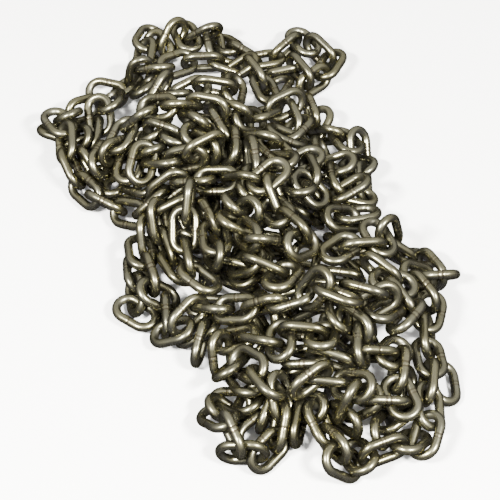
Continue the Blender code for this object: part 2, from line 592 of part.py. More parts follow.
class Filling:
    """Lower links, laid in threaded lengths in the room that the upper ones leave, each at rest."""

    def __init__(self, heap, seed):
        self.rng = np.random.default_rng(seed)
        self.line = centreline(12, 4)
        self.coarse = centreline(6, 2)
        self.upper = heap.n
        self.centres = heap.c.copy()
        self.lines = heap.points(self.line)
        self.lengths = []
        dense = heap.points(centreline(18, 6)).reshape(-1, 3)
        self.room = Room()
        self.room.add(dense)
        self.ceiling = self.find_ceiling(dense)
        self.covered = np.zeros((PICTURE, PICTURE), bool)
        self.covered[picture_cells(dense)] = True
        self.covered = spread(self.covered, 4)
        self.closed = ~spread(~spread(self.covered, 14), 14)
        u, v = np.meshgrid(np.arange(PICTURE), np.arange(PICTURE), indexing="ij")
        for open_u, open_v in OPEN_PLACES:
            self.closed &= (u - open_u) ** 2 + (v - open_v) ** 2 > OPEN_RADIUS ** 2
        self.find_need()

    def find_need(self):
        """How much bare ground a wire at each place of the photograph would hide."""
        bare = (self.closed & ~self.covered).astype(np.float32)
        self.need = np.zeros_like(bare)
        for dx in range(-3, 4):
            for dy in range(-3, 4):
                if dx * dx + dy * dy <= 10:
                    self.need += np.roll(np.roll(bare, dx, 0), dy, 1)

    def floor_cells(self, points):
        at = np.round(points[..., :2] / CELL).astype(int) + CELLS // 2
        at = np.clip(at, 0, CELLS - 1)
        return at[..., 0], at[..., 1]

    def find_ceiling(self, wires):
        """The greatest height of a wire over each cell of the floor or close by, or 0."""
        top = np.zeros((CELLS, CELLS))
        at_x, at_y = self.floor_cells(wires)
        reach = int(COVER / CELL)
        for dx in range(-reach, reach + 1):
            for dy in range(-reach, reach + 1):
                if dx * dx + dy * dy <= reach * reach:
                    np.maximum.at(top, (at_x + dx, at_y + dy), wires[:, 2])
        return top

    def attitudes(self, count, steepest):
        """Random axes and normals, with the long side no steeper than this."""
        heading = self.rng.uniform(0, 2 * math.pi, count)
        slope = self.rng.uniform(-steepest, steepest, count)
        roll = self.rng.uniform(0, math.pi, count)
        axis = np.stack([np.cos(heading) * np.cos(slope), np.sin(heading) * np.cos(slope), np.sin(slope)], -1)
        beside = np.stack([-np.sin(heading), np.cos(heading), np.zeros(count)], -1)
        upward = cross(axis, beside)
        normal = beside * np.cos(roll)[:, None] + upward * np.sin(roll)[:, None]
        return np.round(axis, 6), np.round(normal, 6)

    def fitting(self, centre, axis, normal, before):
        """Numbers of the candidates that seem to have room, those that hide most ground first."""
        across = cross(normal, axis)
        line = (centre[:, None] + self.coarse[None, :, 0, None] * axis[:, None]
                + self.coarse[None, :, 1, None] * across[:, None])
        under = self.ceiling[self.floor_cells(line)] - line[:, :, 2]
        fits = (line[:, :, 2].min(1) > FLOOR) & (under.min(1) > UNDERNEATH)
        keep = np.nonzero(fits)[0]
        gap = self.room.at(line[keep])
        if before is not None:
            own = line[keep][:, :, None] - self.lines[before][None, None]
            own = np.sqrt(dot(own, own).min(2))
            gap = np.where((own < 15) & (own.min(1) > 9.5)[:, None], 20.0, gap)
        keep = keep[gap.min(1) > 8.6]
        u, v = pixels_of(line[keep])
        shut = np.ones(len(keep), bool)
        for open_u, open_v in OPEN_PLACES:
            shut &= ((u - open_u) ** 2 + (v - open_v) ** 2).min(1) > OPEN_RADIUS ** 2
        keep = keep[shut]
        gain = self.need[picture_cells(line[keep])].sum(1) - 0.4 * line[keep][:, :, 2].min(1)
        gain = np.round(gain, 3)
        order = np.argsort(-gain, kind="stable")
        return keep[order], gain[order]

    def wire(self, centre, axis, across):
        return centre + self.line[:, 0:1] * axis + self.line[:, 1:2] * across

    def gaps(self, wire, near):
        """The least distance from this wire to each of these links."""
        here = np.concatenate([wire, (wire + np.roll(wire, -1, axis=0)) / 2])
        gap = here[None, :, None] - self.lines[near][:, None]
        return np.sqrt(dot(gap, gap).min((1, 2)))

    def rest(self, centre, axis, across, normal, before):
        """The lowest place straight below at which the link is clear of all, or None."""
        near = np.nonzero(size(self.centres - centre) < 80)[0]
        least = np.where(near == before, NEXT_APART, LOWER_APART)
        found = None
        while True:
            wire = self.wire(centre, axis, across)
            gap = self.gaps(wire, near)
            if (gap < least).any() or wire[:, 2].min() < FLOOR:
                break
            found = (centre, gap, wire)
            centre = centre - np.array([0.0, 0.0, 1.0])
        if found is None:
            return None
        centre, gap, wire = found
        through = np.abs(crossings(centre, axis, across, normal, self.lines[near]))
        if (through != (near == before)).any():
            return None
        if on_floor(wire) or (gap[near >= self.upper] < RESTING).any():
            return centre
        return None

    def try_link(self, centre, axis, normal, before, least_gain):
        """Lays the best of these candidates that comes to rest."""
        centre = np.round(centre, 4)
        keep, gain = self.fitting(centre, axis, normal, before)
        for k, worth in zip(keep[:50], gain[:50]):
            if worth < least_gain:
                return None
            across = cross(normal[k], axis[k])
            place = self.rest(centre[k], axis[k], across, normal[k], before)
            if place is not None:
                return self.lay(place, axis[k], across, normal[k])
        return None

    def lay(self, centre, axis, across, normal):
        wire = self.wire(centre, axis, across)
        self.centres = np.concatenate([self.centres, centre[None]])
        self.lines = np.concatenate([self.lines, wire[None]])
        more = np.concatenate([wire, (wire + np.roll(wire, -1, axis=0)) / 2])
        self.room.add(more)
        seen = np.zeros((PICTURE, PICTURE), bool)
        seen[picture_cells(more)] = True
        self.covered |= spread(seen, 4)
        self.find_need()
        return centre, axis, across, normal

    def start(self, x, y, least_gain):
        count = 900
        centre = np.stack([x + self.rng.uniform(-14, 14, count), y + self.rng.uniform(-14, 14, count),
                           self.rng.uniform(6, 70, count)], -1)
        axis, normal = self.attitudes(count, 0.9)
        return self.try_link(centre, axis, normal, -1, least_gain)

    def follow(self, last, least_gain):
        """A link threaded through the last one."""
        count = 900
        axes, normals = self.attitudes(count, 1.2)
        way = np.where(dot(axes, last[1][None]) < 0, -1.0, 1.0)
        place = last[0] + last[1] * (way * (STRAIGHT + BEND - 10.4))[:, None]
        centres = place + axes * (STRAIGHT + BEND - self.rng.uniform(0, 2.5, count))[:, None]
        return self.try_link(centres, axes, normals, len(self.centres) - 1, least_gain)

    def fill(self, most, spacing, least_gain):
        """Lays lengths outward from places over the whole heap, where most bare ground is hidden first."""
        places = np.array([(x, y, 10.0) for x in np.arange(-231.0, 232.0, spacing)
                           for y in np.arange(-330.0, 361.0, spacing)])
        wide = np.zeros_like(self.need)
        for dx in range(-12, 13, 6):
            for dy in range(-12, 13, 6):
                wide += np.roll(np.roll(self.need, dx, 0), dy, 1)
        worth = wide[picture_cells(places)]
        for k in np.argsort(-worth, kind="stable"):
            if len(self.centres) >= self.upper + most:
                break
            if self.ceiling[self.floor_cells(places[k])] < 20:
                continue
            last = self.start(places[k][0], places[k][1], least_gain)
            length = []
            while last is not None and len(length) < MOST_LOWER:
                length.append(last)
                last = self.follow(last, least_gain)
            if length:
                self.lengths.append(length)


def fill_heap(heap):
    """The lower lengths, where they hide bare ground."""
    filling = Filling(heap, 8)
    filling.fill(LOWER_LINKS, 20.0, 12.0)
    return filling.lengths


# The part's own plain links: a four-sided wire through eight places
SIDES = 4
WIRE_RADIUS = 5.0
STATIONS = [(9.6, 12.9), (21.5, 6.8), (21.5, -6.8), (9.6, -12.9),
            (-9.6, -12.9), (-21.5, -6.8), (-21.5, 6.8), (-9.6, 12.9)]
JOIN_RADIUS = 2.2
JOIN_DEPTH = 2.5
LOWER_JOIN_DEPTH = 1.2
CROWN_RADIUS = 2.4
CROWN_GAP = 0.6
CROWN_REACH = 11.8

# The thin flat straps on the floor that hold the lower links together
STRAP_WIDTH = 5.0
STRAP_HEIGHT = 3.4
STRAP_GRIP = 3.0
STRAP_HOLD = 1.0
STRAP_REACH = 120.0


def link_shape():
    """Points of one plain link in its own x, y, z, ring by ring, and its faces."""
    count = len(STATIONS)
    points = []
    for k in range(count):
        before, after = STATIONS[k - 1], STATIONS[(k + 1) % count]
        here = STATIONS[k]
        way_in = (here[0] - before[0], here[1] - before[1])
        way_out = (after[0] - here[0], after[1] - here[1])
        in_length = math.hypot(*way_in)
        out_length = math.hypot(*way_out)
        along = (way_in[0] / in_length + way_out[0] / out_length, way_in[1] / in_length + way_out[1] / out_length)
        length = math.hypot(*along)
        outward = (-along[1] / length, along[0] / length)
        for m in range(SIDES):
            t = 2 * math.pi * m / SIDES
            out = WIRE_RADIUS * math.cos(t)
            points.append((here[0] + outward[0] * out, here[1] + outward[1] * out, WIRE_RADIUS * math.sin(t)))
    faces = []
    for k in range(count):
        for m in range(SIDES):
            a = k * SIDES + m
            b = k * SIDES + (m + 1) % SIDES
            c = (k + 1) % count * SIDES + (m + 1) % SIDES
            d = (k + 1) % count * SIDES + m
            faces.append((a, b, c, d))
    return np.array(points), faces


LINK_POINTS, LINK_FACES = link_shape()


def link_vertices(heap, i):
    return (heap.c[i] + LINK_POINTS[:, 0:1] * heap.axis[i] + LINK_POINTS[:, 1:2] * heap.across[i]
            + LINK_POINTS[:, 2:3] * heap.normal[i])


def new_object(name, shapes, middle, material, helper=False):
    """One object of all these shapes, each a list of points and its faces, about the heap's middle."""
    vertices, faces = [], []
    for points, sides in shapes:
        start = len(vertices)
        vertices.extend(tuple(float(a) * METRE for a in p - middle) for p in points)
        faces.extend(tuple(start + v for v in side) for side in sides)
    mesh = bpy.data.meshes.new(name)
    mesh.from_pydata(vertices, [], faces)
    mesh.materials.append(material)
    obj = bpy.data.objects.new(name, mesh)
    bpy.context.scene.collection.objects.link(obj)
    if helper:
        obj.hide_render = True
        obj.display_type = "WIRE"
    return obj


def wire_points(heap, i):
    line = centreline(16, 6)
    return heap.c[i] + line[:, 0:1] * heap.axis[i] + line[:, 1:2] * heap.across[i]


def nearest_points(a, b):
    """The nearest two of these points and their distance."""
    gap = a[:, None] - b[None]
    gap = np.round(size(gap), 3)
    at = int(np.argmin(gap))
    return a[at // len(b)], b[at % len(b)], float(gap.min())


def sides_of(way):
    side = unit(cross(way, np.array([0.36, 0.48, 0.8])))
    return side, cross(way, side)


def join_shape(heap, i, j, depth):
    """A short prism that joins two links where they bear on each other."""
    a, b, gap = nearest_points(wire_points(heap, i), wire_points(heap, j))
    way = unit(b - a)
    side, third = sides_of(way)
    points = []
    for reach in (depth - gap / 2, gap / 2 - depth):
        for k in range(3):
            t = 2 * math.pi * k / 3
            points.append((a + b) / 2 + way * reach + side * JOIN_RADIUS * math.cos(t)
                          + third * JOIN_RADIUS * math.sin(t))
    faces = [(0, 2, 1), (3, 4, 5)]
    for k in range(3):
        faces.append((k, (k + 1) % 3, 3 + (k + 1) % 3, 3 + k))
    if gap / 2 < depth:
        faces = [tuple(reversed(face)) for face in faces]
    return points, faces


def crown_shape(a, tip):
    """The crown of the round wire where it bears: a point that rises from inside the wire at a."""
    way = unit(tip - a)
    side, third = sides_of(way)
    points = [tip, a - way * 1.5]
    faces = []
    for k in range(3):
        t = 2 * math.pi * k / 3
        points.append(a + side * CROWN_RADIUS * math.cos(t) + third * CROWN_RADIUS * math.sin(t))
        faces.append((0, 2 + k, 2 + (k + 1) % 3))
        faces.append((1, 2 + (k + 1) % 3, 2 + k))
    return points, faces


def crowns(heap, groups):
    """The crowns of each group of links, where it bears on the others, so that all rest together."""
    around = heap.points(centreline(16, 6))
    reaches = []
    for first, members in enumerate(groups):
        for second in range(first + 1, len(groups)):
            for i in members:
                for j in groups[second]:
                    if float(size(heap.c[i] - heap.c[j])) < LINK_LENGTH + WIRE:
                        a, b, gap = nearest_points(around[i], around[j])
                        if gap < CROWN_REACH:
                            reaches.append((gap, first, second, tuple(a), tuple(b)))
    joined = list(range(len(groups)))
    made = [[] for _ in groups]
    for gap, first, second, a, b in sorted(reaches):
        if joined[first] == joined[second]:
            continue
        a = np.array(a)
        b = np.array(b)
        half = (b - a) / 2 - unit(b - a) * (CROWN_GAP / 2)
        made[first].append(crown_shape(a, a + half))
        made[second].append(crown_shape(b, b - half))
        old, new = joined[second], joined[first]
        joined = [new if k == old else k for k in joined]
    print("groups of links apart", len(set(joined)))
    return made


def add_union(obj, name, shapes, middle, material):
    other = new_object(obj.name + "_" + name, shapes, middle, material, helper=True)
    union = obj.modifiers.new(name, "BOOLEAN")
    union.operation = "UNION"
    union.solver = "EXACT"
    union.use_self = True
    union.object = other


def build_run(heap, name, members, seats, middle, material):
    """The links of one run as one body, joined where they bear on each other."""
    links = [(link_vertices(heap, i), LINK_FACES) for i in members]
    run = new_object(name, links[0::2], middle, material)
    if len(members) > 1:
        add_union(run, "between", links[1::2], middle, material)
        joins = [join_shape(heap, i, j, JOIN_DEPTH) for i, j in zip(members, members[1:])]
        add_union(run, "joins", joins, middle, material)
    if seats:
        add_union(run, "crowns", seats, middle, material)


def strap_shape(a, b):
    """A flat strap on the floor from under one wire to under another."""
    way = unit((b - a) * np.array([1.0, 1.0, 0.0]))
    side = cross(np.array([0.0, 0.0, 1.0]), way) * (STRAP_WIDTH / 2)
    start = a - way * STRAP_GRIP
    end = b + way * STRAP_GRIP
    points = []
    for height in (0.0, STRAP_HEIGHT):
        for corner in (start - side, end - side, end + side, start + side):
            points.append(np.array([corner[0], corner[1], height]))
    faces = [(3, 2, 1, 0), (4, 5, 6, 7)]
    for k in range(4):
        faces.append((k, (k + 1) % 4, 4 + (k + 1) % 4, 4 + k))
    return points, faces


def link_pairs(places, reach):
    """Pairs of links that have places this near each other, the nearest first, with the nearest places."""
    pairs = []
    for i, of_i in places.items():
        for j, of_j in places.items():
            if i < j and len(of_i) and len(of_j):
                a, b, gap = nearest_points(of_i, of_j)
                if gap < reach:
                    pairs.append((gap, i, j, tuple(a), tuple(b)))
    return sorted(pairs)


def newly_tied(pairs, held):
    """Those of these pairs that tie links which don't hold together yet."""
    tied = []
    for _, i, j, a, b in pairs:
        if held[i] != held[j]:
            tied.append((i, j, np.array(a), np.array(b)))
            old, new = max(held[i], held[j]), min(held[i], held[j])
            held.update({k: new for k, group in held.items() if group == old})
    return tied


def lower_ties(heap, members):
    """Joins where one lower link bears on another, and straps between those that only share the floor."""
    wires = {i: wire_points(heap, i) for i in members}
    corners = {i: link_vertices(heap, i) for i in members}
    feet = {i: points[points[:, 2] < STRAP_HEIGHT - STRAP_HOLD] for i, points in corners.items()}
    held = {i: i for i in members}
    bearing = newly_tied(link_pairs(wires, CROWN_REACH), held)
    standing = newly_tied(link_pairs(feet, STRAP_REACH), held)
    print("groups of lower links", len(set(held.values())), "joins", len(bearing), "straps", len(standing))
    joins = [join_shape(heap, i, j, LOWER_JOIN_DEPTH) for i, j, _, _ in bearing]
    straps = [strap_shape(a, b) for _, _, a, b in standing]
    return joins, straps


def build_core(heap, members, odd, seats, middle, material):
    """The lower links as one body, tied to each other where they touch and by thin straps on the floor."""
    joins, straps = lower_ties(heap, members)
    even = [(link_vertices(heap, i), LINK_FACES) for i in members if i not in odd]
    other = [(link_vertices(heap, i), LINK_FACES) for i in members if i in odd]
    core = new_object("core", even, middle, material)
    add_union(core, "between", other, middle, material)
    add_union(core, "joins", joins, middle, material)
    add_union(core, "straps", straps, middle, material)
    if seats:
        add_union(core, "crowns", seats, middle, material)


def metal(name, colour, roughness):
    material = bpy.data.materials.new(name)
    material.use_nodes = True
    shader = material.node_tree.nodes["Principled BSDF"]
    shader.inputs["Base Color"].default_value = colour
    shader.inputs["Metallic"].default_value = 1.0
    shader.inputs["Roughness"].default_value = roughness
    return material


def box_middle(points):
    """The middle of the box round these points, in x and y."""
    middle = (points.min(0) + points.max(0)) / 2
    return np.array([round(float(middle[0]), 3), round(float(middle[1]), 3), 0.0])


def main():
    for obj in list(bpy.data.objects):
        bpy.data.objects.remove(obj)
    heap = lay_heap()
    shown = heap.points(centreline(16, 6)).reshape(-1, 3)
    middle = box_middle(shown)
    lower, odd = heap.take(fill_heap(heap))
    steel = metal("chain_steel", (0.30, 0.28, 0.20, 1.0), 0.35)
    seats = crowns(heap, heap.runs + [lower])
    build_core(heap, lower, odd, seats[-1], middle, steel)
    for k, members in enumerate(heap.runs):
        build_run(heap, f"chain_run_{k + 1:02d}", members, seats[k], middle, steel)


main()
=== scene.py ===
# The heap of steel chain, with every link at its full shape.
import math

import bpy
import numpy as np
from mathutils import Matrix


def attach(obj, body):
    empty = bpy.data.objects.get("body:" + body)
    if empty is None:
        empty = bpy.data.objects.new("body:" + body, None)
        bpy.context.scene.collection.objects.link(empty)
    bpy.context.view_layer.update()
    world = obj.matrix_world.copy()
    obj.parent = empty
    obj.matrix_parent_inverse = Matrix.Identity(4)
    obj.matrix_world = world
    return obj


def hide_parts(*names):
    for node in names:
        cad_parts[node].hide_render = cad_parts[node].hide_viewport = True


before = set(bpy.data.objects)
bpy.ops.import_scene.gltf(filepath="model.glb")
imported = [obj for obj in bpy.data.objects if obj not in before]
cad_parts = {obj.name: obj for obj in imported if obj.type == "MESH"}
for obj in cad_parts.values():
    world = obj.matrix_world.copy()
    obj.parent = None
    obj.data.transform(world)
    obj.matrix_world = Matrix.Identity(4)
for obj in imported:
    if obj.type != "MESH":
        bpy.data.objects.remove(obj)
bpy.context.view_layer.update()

# All lengths of the layout are in millimetres
WIRE = 10.0
LINK_LENGTH = 55.0
LINK_WIDTH = 35.8
BEND = (LINK_WIDTH - WIRE) / 2
STRAIGHT = (LINK_LENGTH - WIRE) / 2 - BEND
METRE = 0.001

# Where the photograph was taken from
ELEVATION = math.radians(50.0)
DISTANCE = 1740.0
FOCAL = 1618.0
MIDDLE = 250.0
RIGHT = np.array([1.0, 0.0, 0.0])
UP = np.array([0.0, math.sin(ELEVATION), math.cos(ELEVATION)])
FORWARD = np.array([0.0, math.cos(ELEVATION), -math.sin(ELEVATION)])
EYE = -FORWARD * DISTANCE

# The low mound that the upper links lie over, as a ridge between two places
RIDGE_FROM = (195.0, 150.0)
RIDGE_TO = (330.0, 340.0)
MOUND_RADIUS = 120.0
MOUND_TOP = 65.0

# Least distances between centrelines: of any two links, of linked ones, of linked ones in different
# runs, and of a link and what lies under it
APART = 10.8
BEARING = 10.0
BETWEEN_RUNS = 11.3
FLOOR = 5.6
MOST_IN_RUN = 6

# Spacing of neighbours: how near and far their centres may be, and how fully they give way and go
# back, along the view and across it
NEAR_CENTRES = 14.0
FAR_CENTRES = 32.0
SPACING_ROUNDS = 300
GIVE_DEEP = 0.9
GIVE_FLAT = 0.5
BACK_DEEP = 0.01
BACK_FLAT = 0.06
USUAL_HEIGHT = 15.0

# Attitudes and places that are tried for each upper link
TURNS = [math.radians(a) for a in (0, 15, -15, 32, -32, 55, -55)]
SLOPES = [math.radians(a) for a in range(-60, 61, 15)]
ROLLS = [math.radians(a) for a in range(0, 180, 15)]
DEPTHS = [float(a) for a in range(-28, 40, 4)]
DRAWN = [0.0, 4.0, 8.0]
MOST_ATTITUDES = 200
MOST_PLACES = 700

# The amounts of each of these that cost 1
TURN_EASE = 0.35
OPEN_EASE = 0.22
SLOPE_EASE = 0.6
DEPTH_EASE = 14.0
DRAWN_EASE = 8.0
SINK_EASE = 3.0
UNTHREADED_COST = 400.0
HOOKED_COST = 25.0
# Gap wanted to a linked wire and to another, each with how much less costs 1
LINKED_GAP = (10.0, 0.8)
OTHER_GAP = (11.5, 1.5)
FAR_APART = 95.0

# Settling: how hard the links are drawn to their readings and down, how little sideways they make way
# for each other, at what overlap they are no longer drawn, and the most that one step does to them
HOLD = 0.3
SINKING = 0.08
SIDEWAYS = 0.6
TIGHT = 2.5
PUSH = 1.3
GYRATION = 300.0
MOST_MOVE = 1.5
MOST_TURN = 0.06
MOST_DEEP = 0.75
SETTLE_ROUNDS = 160
QUIET_ROUNDS = 160
PAIRS_EVERY = 8
PUSHES = 3
NEAR_LINKS = 60.0
NEAR_PIECES_SQUARED = 420.0

# One row a link, along each length of chain: its place in the photograph, the angle of its long
# side there, how open it looks (0 edge on, 1 face on) and how far its middle is above the ground
LENGTHS = [
    # top edge
    [(141, 56, 100, .35, 10), (146, 35, -70, .7, 20), (155, 42, 62, .3, 16), (172, 32, -85, .8, 22),
     (188, 34, 65, .8, 18), (202, 28, -25, .3, 24), (211, 41, 75, .4, 14), (225, 37, 42, .5, 18),
     (245, 53, 35, .3, 10)],
    # second row
    [(104, 89, 10, .9, 14), (125, 82, -42, .3, 16), (137, 69, -60, .5, 22), (150, 65, -10, .15, 30),
     (175, 61, -10, .8, 26), (200, 54, 2, .15, 34), (228, 66, 5, .6, 28), (243, 62, -20, .5, 24),
     (257, 67, 45, .3, 30), (265, 88, 50, .3, 24)],
    # under the second row
    [(236, 86, 85, .3, 8), (212, 81, 30, .15, 14), (188, 93, -5, .5, 10), (169, 90, -10, .2, 14),
     (156, 86, -55, .2, 10), (143, 80, -55, .2, 14)],
    # left lobe, upper turn
    [(112, 99, 60, .5, 10), (92, 117, -80, .85, 22), (81, 138, -52, .25, 14), (80, 155, -20, .2, 10),
     (103, 154, 8, .2, 14), (107, 167, 100, .2, 9)],
    # left lobe, outer edge, then the main run over the middle
    [(84, 106, -15, .3, 10), (66, 113, -8, .15, 18), (55, 120, 40, .7, 12), (62, 136, 95, .15, 16),
     (70, 167, 62, .4, 10), (89, 190, 42, .5, 10), (108, 199, 25, .3, 12), (127, 210, -20, .6, 12),
     (147, 199, -50, .2, 20), (163, 181, -35, .85, 24), (192, 186, -2, .2, 32), (220, 176, 5, .8, 28),
     (241, 179, 0, .2, 32), (268, 177, -50, .8, 30), (277, 197, 55, .5, 34), (274, 211, 50, .85, 26),
     (296, 225, 45, .25, 32), (302, 245, -20, .7, 26)],
    [(54, 133, 15, .4, 7), (76, 142, 10, .3, 7)],
    [(84, 166, 68, .2, 7), (98, 186, 45, .4, 6), (116, 191, 25, .4, 8), (137, 187, 0, .3, 12)],
    # inner left, over to the ring at the upper middle
    [(115, 149, -60, .3, 12), (122, 133, -55, .7, 18), (142, 122, -30, .2, 26), (155, 109, -5, .75, 24),
     (180, 105, -25, .2, 30), (208, 108, 0, .7, 28), (217, 121, 43, .15, 36), (229, 150, 85, .3, 20)],
    [(146, 134, 80, .25, 14), (167, 131, 30, .3, 18), (183, 140, 0, .2, 30), (206, 147, 65, .7, 26)],
    [(139, 161, -60, .8, 18), (158, 160, 20, .3, 18), (183, 157, -12, .5, 24), (200, 143, 10, .5, 18)],
    [(128, 166, -60, .6, 8), (147, 150, -30, .4, 12)],
    [(188, 119, 35, .3, 20), (200, 133, -5, .5, 16)],
    # centre left
    [(187, 201, 93, .1, 24), (183, 229, 90, .95, 22), (185, 258, 92, .1, 24), (199, 280, 45, .7, 16)],
    [(170, 196, -30, .2, 18), (155, 221, 88, .35, 22), (163, 249, 75, .3, 14), (173, 270, 50, .3, 10)],
    [(145, 236, 85, .4, 14), (135, 251, -70, .6, 10), (150, 271, 72, .5, 16), (152, 300, 30, .7, 14),
     (157, 321, 60, .12, 18), (171, 337, -25, .4, 12), (186, 317, -40, .8, 20), (210, 315, -8, .15, 30),
     (237, 311, 10, .7, 26), (267, 309, -3, .15, 34), (290, 299, -10, .4, 22), (320, 290, -60, .8, 30),
     (341, 296, 22, .25, 32)],
    [(135, 277, 80, .3, 7), (137, 297, 85, .4, 9), (140, 316, 10, .7, 8)],
    [(208, 222, 65, .1, 26), (222, 238, 60, .5, 18), (211, 250, 62, .15, 22)],
    [(243, 204, -40, .5, 16), (247, 219, 0, .6, 20), (234, 222, 20, .15, 30), (246, 238, 45, .5, 22),
     (272, 241, 12, .2, 30)],
    [(232, 255, 20, .6, 28), (241, 265, -10, .8, 24), (264, 266, 25, .2, 28), (285, 280, -28, .2, 26)],
    [(193, 331, -40, .35, 12), (201, 344, -65, .15, 16)],
    # the ring row across the lower middle
    [(220, 361, 80, .35, 12), (236, 342, -5, .7, 18), (260, 346, 5, .15, 26), (282, 345, 80, .6, 18),
     (311, 334, 22, .2, 26), (324, 337, -80, .8, 24)],
    [(340, 318, 80, .4, 16), (356, 327, 45, .6, 22), (361, 347, 85, .15, 26), (384, 357, -2, .15, 26),
     (394, 356, 82, .85, 20), (400, 379, 82, .15, 22), (402, 411, 62, .6, 18), (387, 408, 5, .3, 12),
     (367, 416, 5, .2, 18)],
    # lower left lobe
    [(233, 376, -50, .2, 14), (250, 370, 30, .85, 22), (265, 388, 50, .15, 26), (278, 404, 80, .5, 14),
     (280, 427, 90, .2, 14), (270, 453, -55, .6, 10), (240, 459, 5, .6, 12), (233, 439, 65, .2, 16),
     (214, 423, 60, .6, 9), (232, 417, 65, .2, 14), (229, 409, -10, .85, 18), (253, 403, 105, .4, 16),
     (249, 386, 40, .3, 14)],
    [(264, 410, 92, .2, 14), (260, 441, -40, .6, 9)],
    # bottom
    [(310, 383, -40, .2, 14), (331, 390, 0, .15, 24), (357, 390, 3, .85, 24), (352, 408, 112, .2, 28),
     (352, 429, -20, .6, 12)],
    [(305, 360, -5, .2, 16), (334, 361, 20, .4, 12)],
    # right strand, round the bottom edge
    [(342, 248, -28, .6, 28), (366, 248, -12, .25, 32), (381, 237, 55, .6, 24), (394, 234, 65, .6, 16),
     (399, 252, 20, .3, 20), (418, 262, 25, .4, 12), (436, 267, 50, .5, 10), (440, 277, 5, .3, 14),
     (422, 280, 25, .6, 10), (428, 297, 40, .4, 12), (433, 313, 90, .75, 7), (430, 338, 88, .5, 12),
     (433, 363, 90, .75, 7), (428, 386, 88, .6, 12), (432, 409, 90, .75, 7), (430, 440, -65, .7, 10),
     (413, 443, -18, .25, 16), (385, 457, -10, .5, 12), (367, 455, 15, .7, 14), (347, 466, 15, .7, 9),
     (340, 446, 68, .15, 18), (322, 428, 75, .6, 12), (306, 412, 0, .7, 16), (298, 427, 90, .15, 16)],
    [(448, 387, 80, .45, 6)],
    [(410, 395, 78, .5, 8), (397, 424, -50, .5, 8), (385, 441, 3, .3, 7)],
    # upper right lobe
    [(262, 57, 5, .3, 10), (286, 43, -35, .4, 16), (305, 37, 60, .6, 14), (322, 45, 45, .7, 16),
     (331, 62, -50, .4, 14), (317, 78, -35, .6, 10), (300, 67, 60, .5, 20), (282, 68, -6, .15, 24)],
    [(231, 107, 5, .3, 24), (250, 119, 0, .6, 18), (262, 111, -25, .15, 30), (287, 102, -30, .8, 24),
     (289, 115, 75, .55, 26), (299, 128, -60, .7, 18), (285, 133, 5, .2, 14)],
    [(279, 84, -45, .3, 18)],
    [(313, 111, 75, .2, 22), (318, 120, -55, .6, 18), (332, 134, -25, .15, 24), (347, 142, 38, .15, 22),
     (360, 147, 65, .6, 16), (359, 164, -5, .35, 20), (367, 182, 82, .4, 12), (357, 196, 20, .4, 12),
     (362, 214, 5, .7, 20), (343, 221, -20, .3, 16)],
    [(323, 152, 85, .3, 12), (337, 163, -20, .7, 24), (340, 180, 80, .25, 24), (352, 188, -30, .3, 18)],
    [(263, 138, 5, .15, 30), (275, 149, 35, .6, 22), (279, 164, 12, .25, 20)],
    [(304, 158, -25, .7, 24), (312, 170, 60, .3, 22), (309, 194, 50, .85, 26), (297, 188, 5, .3, 24)],
    [(251, 155, 90, .2, 14), (249, 189, 95, .3, 16)],
    # right middle
    [(383, 269, 30, .7, 24), (398, 289, 50, .8, 20), (404, 299, 38, .3, 28), (407, 325, -55, .15, 14)],
    [(366, 290, 5, .2, 28), (380, 304, -20, .8, 22), (395, 313, -20, .3, 12)],
]


def dot(a, b):
    return a[..., 0] * b[..., 0] + a[..., 1] * b[..., 1] + a[..., 2] * b[..., 2]


def cross(a, b):
    return np.stack([a[..., i] * b[..., j] - a[..., j] * b[..., i] for i, j in ((1, 2), (2, 0), (0, 1))], -1)


def size(a):
    return np.sqrt(dot(a, a))


def unit(a):
    return a / np.maximum(size(a), 1e-9)[..., None]


def sign(a):
    """-1 where negative, otherwise 1."""
    return np.where(a < 0, -1.0, 1.0)


def summed(numbers, rows, count):
    """For each of this many links, the sum of the rows that have its number."""
    return np.stack([np.bincount(numbers, rows[:, k], count) for k in range(3)], -1)


def steps_within(reach, most):
    """Steps in x and y up to this reach, with a squared length of at most this."""
    way = range(-reach, reach + 1)
    return [(dx, dy) for dx in way for dy in way if dx * dx + dy * dy <= most]


def ray_at(u, v):
    """The way from the camera to u, v in the photograph."""
    return FORWARD + RIGHT * ((u - MIDDLE) / FOCAL) + UP * ((MIDDLE - v) / FOCAL)


def place_at(u, v, height):
    """The point at this height that the photograph shows at u, v."""
    ray = ray_at(u, v)
    return EYE + ray * ((EYE[2] - height) / -ray[2])


RIDGE_A = place_at(*RIDGE_FROM, 0.0)
RIDGE_B = place_at(*RIDGE_TO, 0.0)


def mound(x, y):
    """Height of the mound."""
    x, y = x - RIDGE_A[0], y - RIDGE_A[1]
    run_x, run_y = RIDGE_B[0] - RIDGE_A[0], RIDGE_B[1] - RIDGE_A[1]
    along = np.clip((x * run_x + y * run_y) / (run_x * run_x + run_y * run_y), 0, 1)
    off_x, off_y = x - along * run_x, y - along * run_y
    share = (off_x * off_x + off_y * off_y) / (MOUND_RADIUS * MOUND_RADIUS)
    return MOUND_TOP * np.maximum(0.0, 1.0 - share)


def centreline(arc_steps, straight_steps):
    """The middle of the wire of one link, as closed x, y points."""
    points = []
    for side in (1, -1):
        for k in range(arc_steps + 1):
            t = -math.pi / 2 + math.pi * k / arc_steps
            points.append((side * (STRAIGHT + BEND * math.cos(t)), side * BEND * math.sin(t)))
        for k in range(1, straight_steps):
            points.append((side * STRAIGHT * (1 - 2 * k / straight_steps), side * BEND))
    return np.array(points)


def laid(line, centre, axis, across):
    """The points of this x, y line in the plane of each link."""
    return (centre[..., None, :] + line[:, 0, None] * axis[..., None, :]
            + line[:, 1, None] * across[..., None, :])


def with_middles(wire):
    """The points of a closed wire, and those halfway between them."""
    return np.concatenate([wire, (wire + np.roll(wire, -1, axis=0)) / 2])


